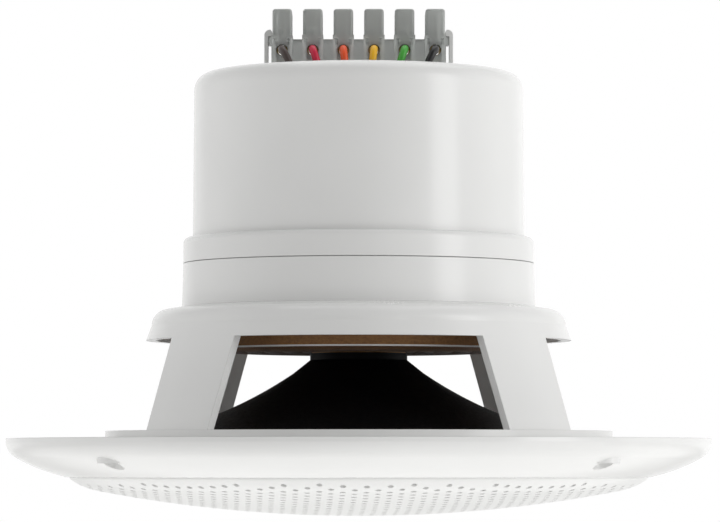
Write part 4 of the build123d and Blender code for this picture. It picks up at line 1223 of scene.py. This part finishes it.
# ---------------------------------------------------------------- studio
@dataclass
class Studio:
    """Pale floor, white surroundings, soft lights and the camera."""

    camera_distance: float = 1.365
    camera_drop: float = -0.0077
    camera_side: float = 0.00043
    camera_pitch: float = 2.76
    lens: float = 208.6
    front_light: float = 0.08
    side_light: float = 1.05
    floor_level: float = -0.32
    floor_radius: float = 1.9

    def camera(self) -> None:
        """Places the camera below the ceiling face, looking along +Y and slightly up."""
        data = bpy.data.cameras.new("camera")
        data.lens = self.lens
        data.sensor_width = 36.0
        data.clip_end = 50.0
        holder = bpy.data.objects.new("camera", data)
        holder.location = (self.camera_side, -self.camera_distance, self.camera_drop)
        holder.rotation_euler = (math.radians(90 + self.camera_pitch), 0.0, 0.0)
        bpy.context.scene.collection.objects.link(holder)
        bpy.context.scene.camera = holder

    def soft_light(self, name: str, place: tuple[float, float, float], size: tuple[float, float],
                   power: float, aim: tuple[float, float, float] = (0.0, 0.0, 0.05)) -> None:
        """Adds a rectangular soft light.

        Args:
            name: its name.
            place: where it stands.
            size: width and height in metres.
            power: watts.
            aim: the point it faces.
        """
        data = bpy.data.lights.new(name, "AREA")
        data.shape = "RECTANGLE"
        data.size, data.size_y = size
        data.energy = power
        lamp = bpy.data.objects.new(name, data)
        lamp.visible_camera = False
        lamp.location = place
        lamp.rotation_euler = (Vector(aim) - Vector(place)).to_track_quat("-Z", "Y").to_euler()
        bpy.context.scene.collection.objects.link(lamp)

    def surroundings(self) -> None:
        """White backdrop to the eye, whose light comes from both sides and from beyond the speaker."""
        world = bpy.data.worlds.new("studio")
        world.use_nodes = True
        bpy.context.scene.world = world
        tree = world.node_tree
        tree.nodes.clear()
        bench = NodeBench(tree)
        split = bench.add("SeparateXYZ")
        bench.feed(split.inputs[0], bench.add("TexCoord").outputs["Generated"])
        sideways = bench.maths("ABSOLUTE", split.outputs["X"])
        behind = bench.spread(split.outputs["Y"], 0.1, 0.9, 0.0, 1.0)
        turned = bench.maths("MAXIMUM", sideways, behind)
        level = bench.spread(turned, 0.1, 0.95, self.front_light, self.side_light)
        lit = bench.add("Background")
        lit.inputs["Color"].default_value = rgb(1.0, 1.0, 1.0)
        bench.feed(lit.inputs["Strength"], level)
        seen = bench.add("Background")
        seen.inputs["Color"].default_value = rgb(1.0, 1.0, 1.0)
        seen.inputs["Strength"].default_value = 1.0
        pick = bench.add("MixShader")
        bench.feed(pick.inputs[0], bench.add("LightPath").outputs["Is Camera Ray"])
        bench.feed(pick.inputs[1], lit.outputs[0])
        bench.feed(pick.inputs[2], seen.outputs[0])
        out = bench.add("OutputWorld")
        bench.feed(out.inputs["Surface"], pick.outputs[0])

    def floor(self) -> None:
        """Lays a round pale floor well below the speaker."""
        mesh = bpy.data.meshes.new("floor")
        disc = bmesh.new()
        bmesh.ops.create_circle(disc, cap_ends=True, segments=96, radius=self.floor_radius)
        for vert in disc.verts:
            vert.co.z = self.floor_level
        disc.to_mesh(mesh)
        disc.free()
        floor = object_from("floor", mesh)
        material = bpy.data.materials.new("pale_floor")
        material.use_nodes = True
        bench = NodeBench(material.node_tree)
        shader = material.node_tree.nodes["Principled BSDF"]
        bench.feed(shader.inputs["Base Color"],
                   bench.blend(bench.noise(6.0, 3.0, 0.5), rgb(0.78, 0.78, 0.77), rgb(0.82, 0.82, 0.81)))
        shader.inputs["Roughness"].default_value = 0.7
        mesh.materials.append(material)

    def build(self) -> None:
        """Sets the whole studio up."""
        bpy.context.scene.view_settings.view_transform = "Standard"
        self.camera()
        self.surroundings()
        self.floor()
        self.soft_light("right_softbox", (1.1, -0.62, 0.3), (0.45, 0.9), 3.6)
        self.soft_light("top_softbox", (0.1, 0.3, 1.4), (1.2, 1.2), 6.0)
        low_place = (0.0, -0.06, self.floor_level + 0.01)
        self.soft_light("low_softbox", low_place, (1.6, 1.4), 3.2, (0.0, -0.06, 0.0))


def main() -> None:
    """Builds every piece in order."""
    logging.basicConfig(level=logging.INFO, format="%(message)s")
    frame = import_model()
    Studio().build()
    shelf = FinishShelf()
    CarriedParts(frame["record"]).build(frame["nodes"], shelf)
    for maker in (PerforatedGrille(), RollEdge(), SpiderDisc(), BraidedPair()):
        for piece in maker.build(shelf):
            LOG.info("piece %s: %d faces", piece.name, len(piece.data.polygons))


if __name__ == "__main__":
    main()
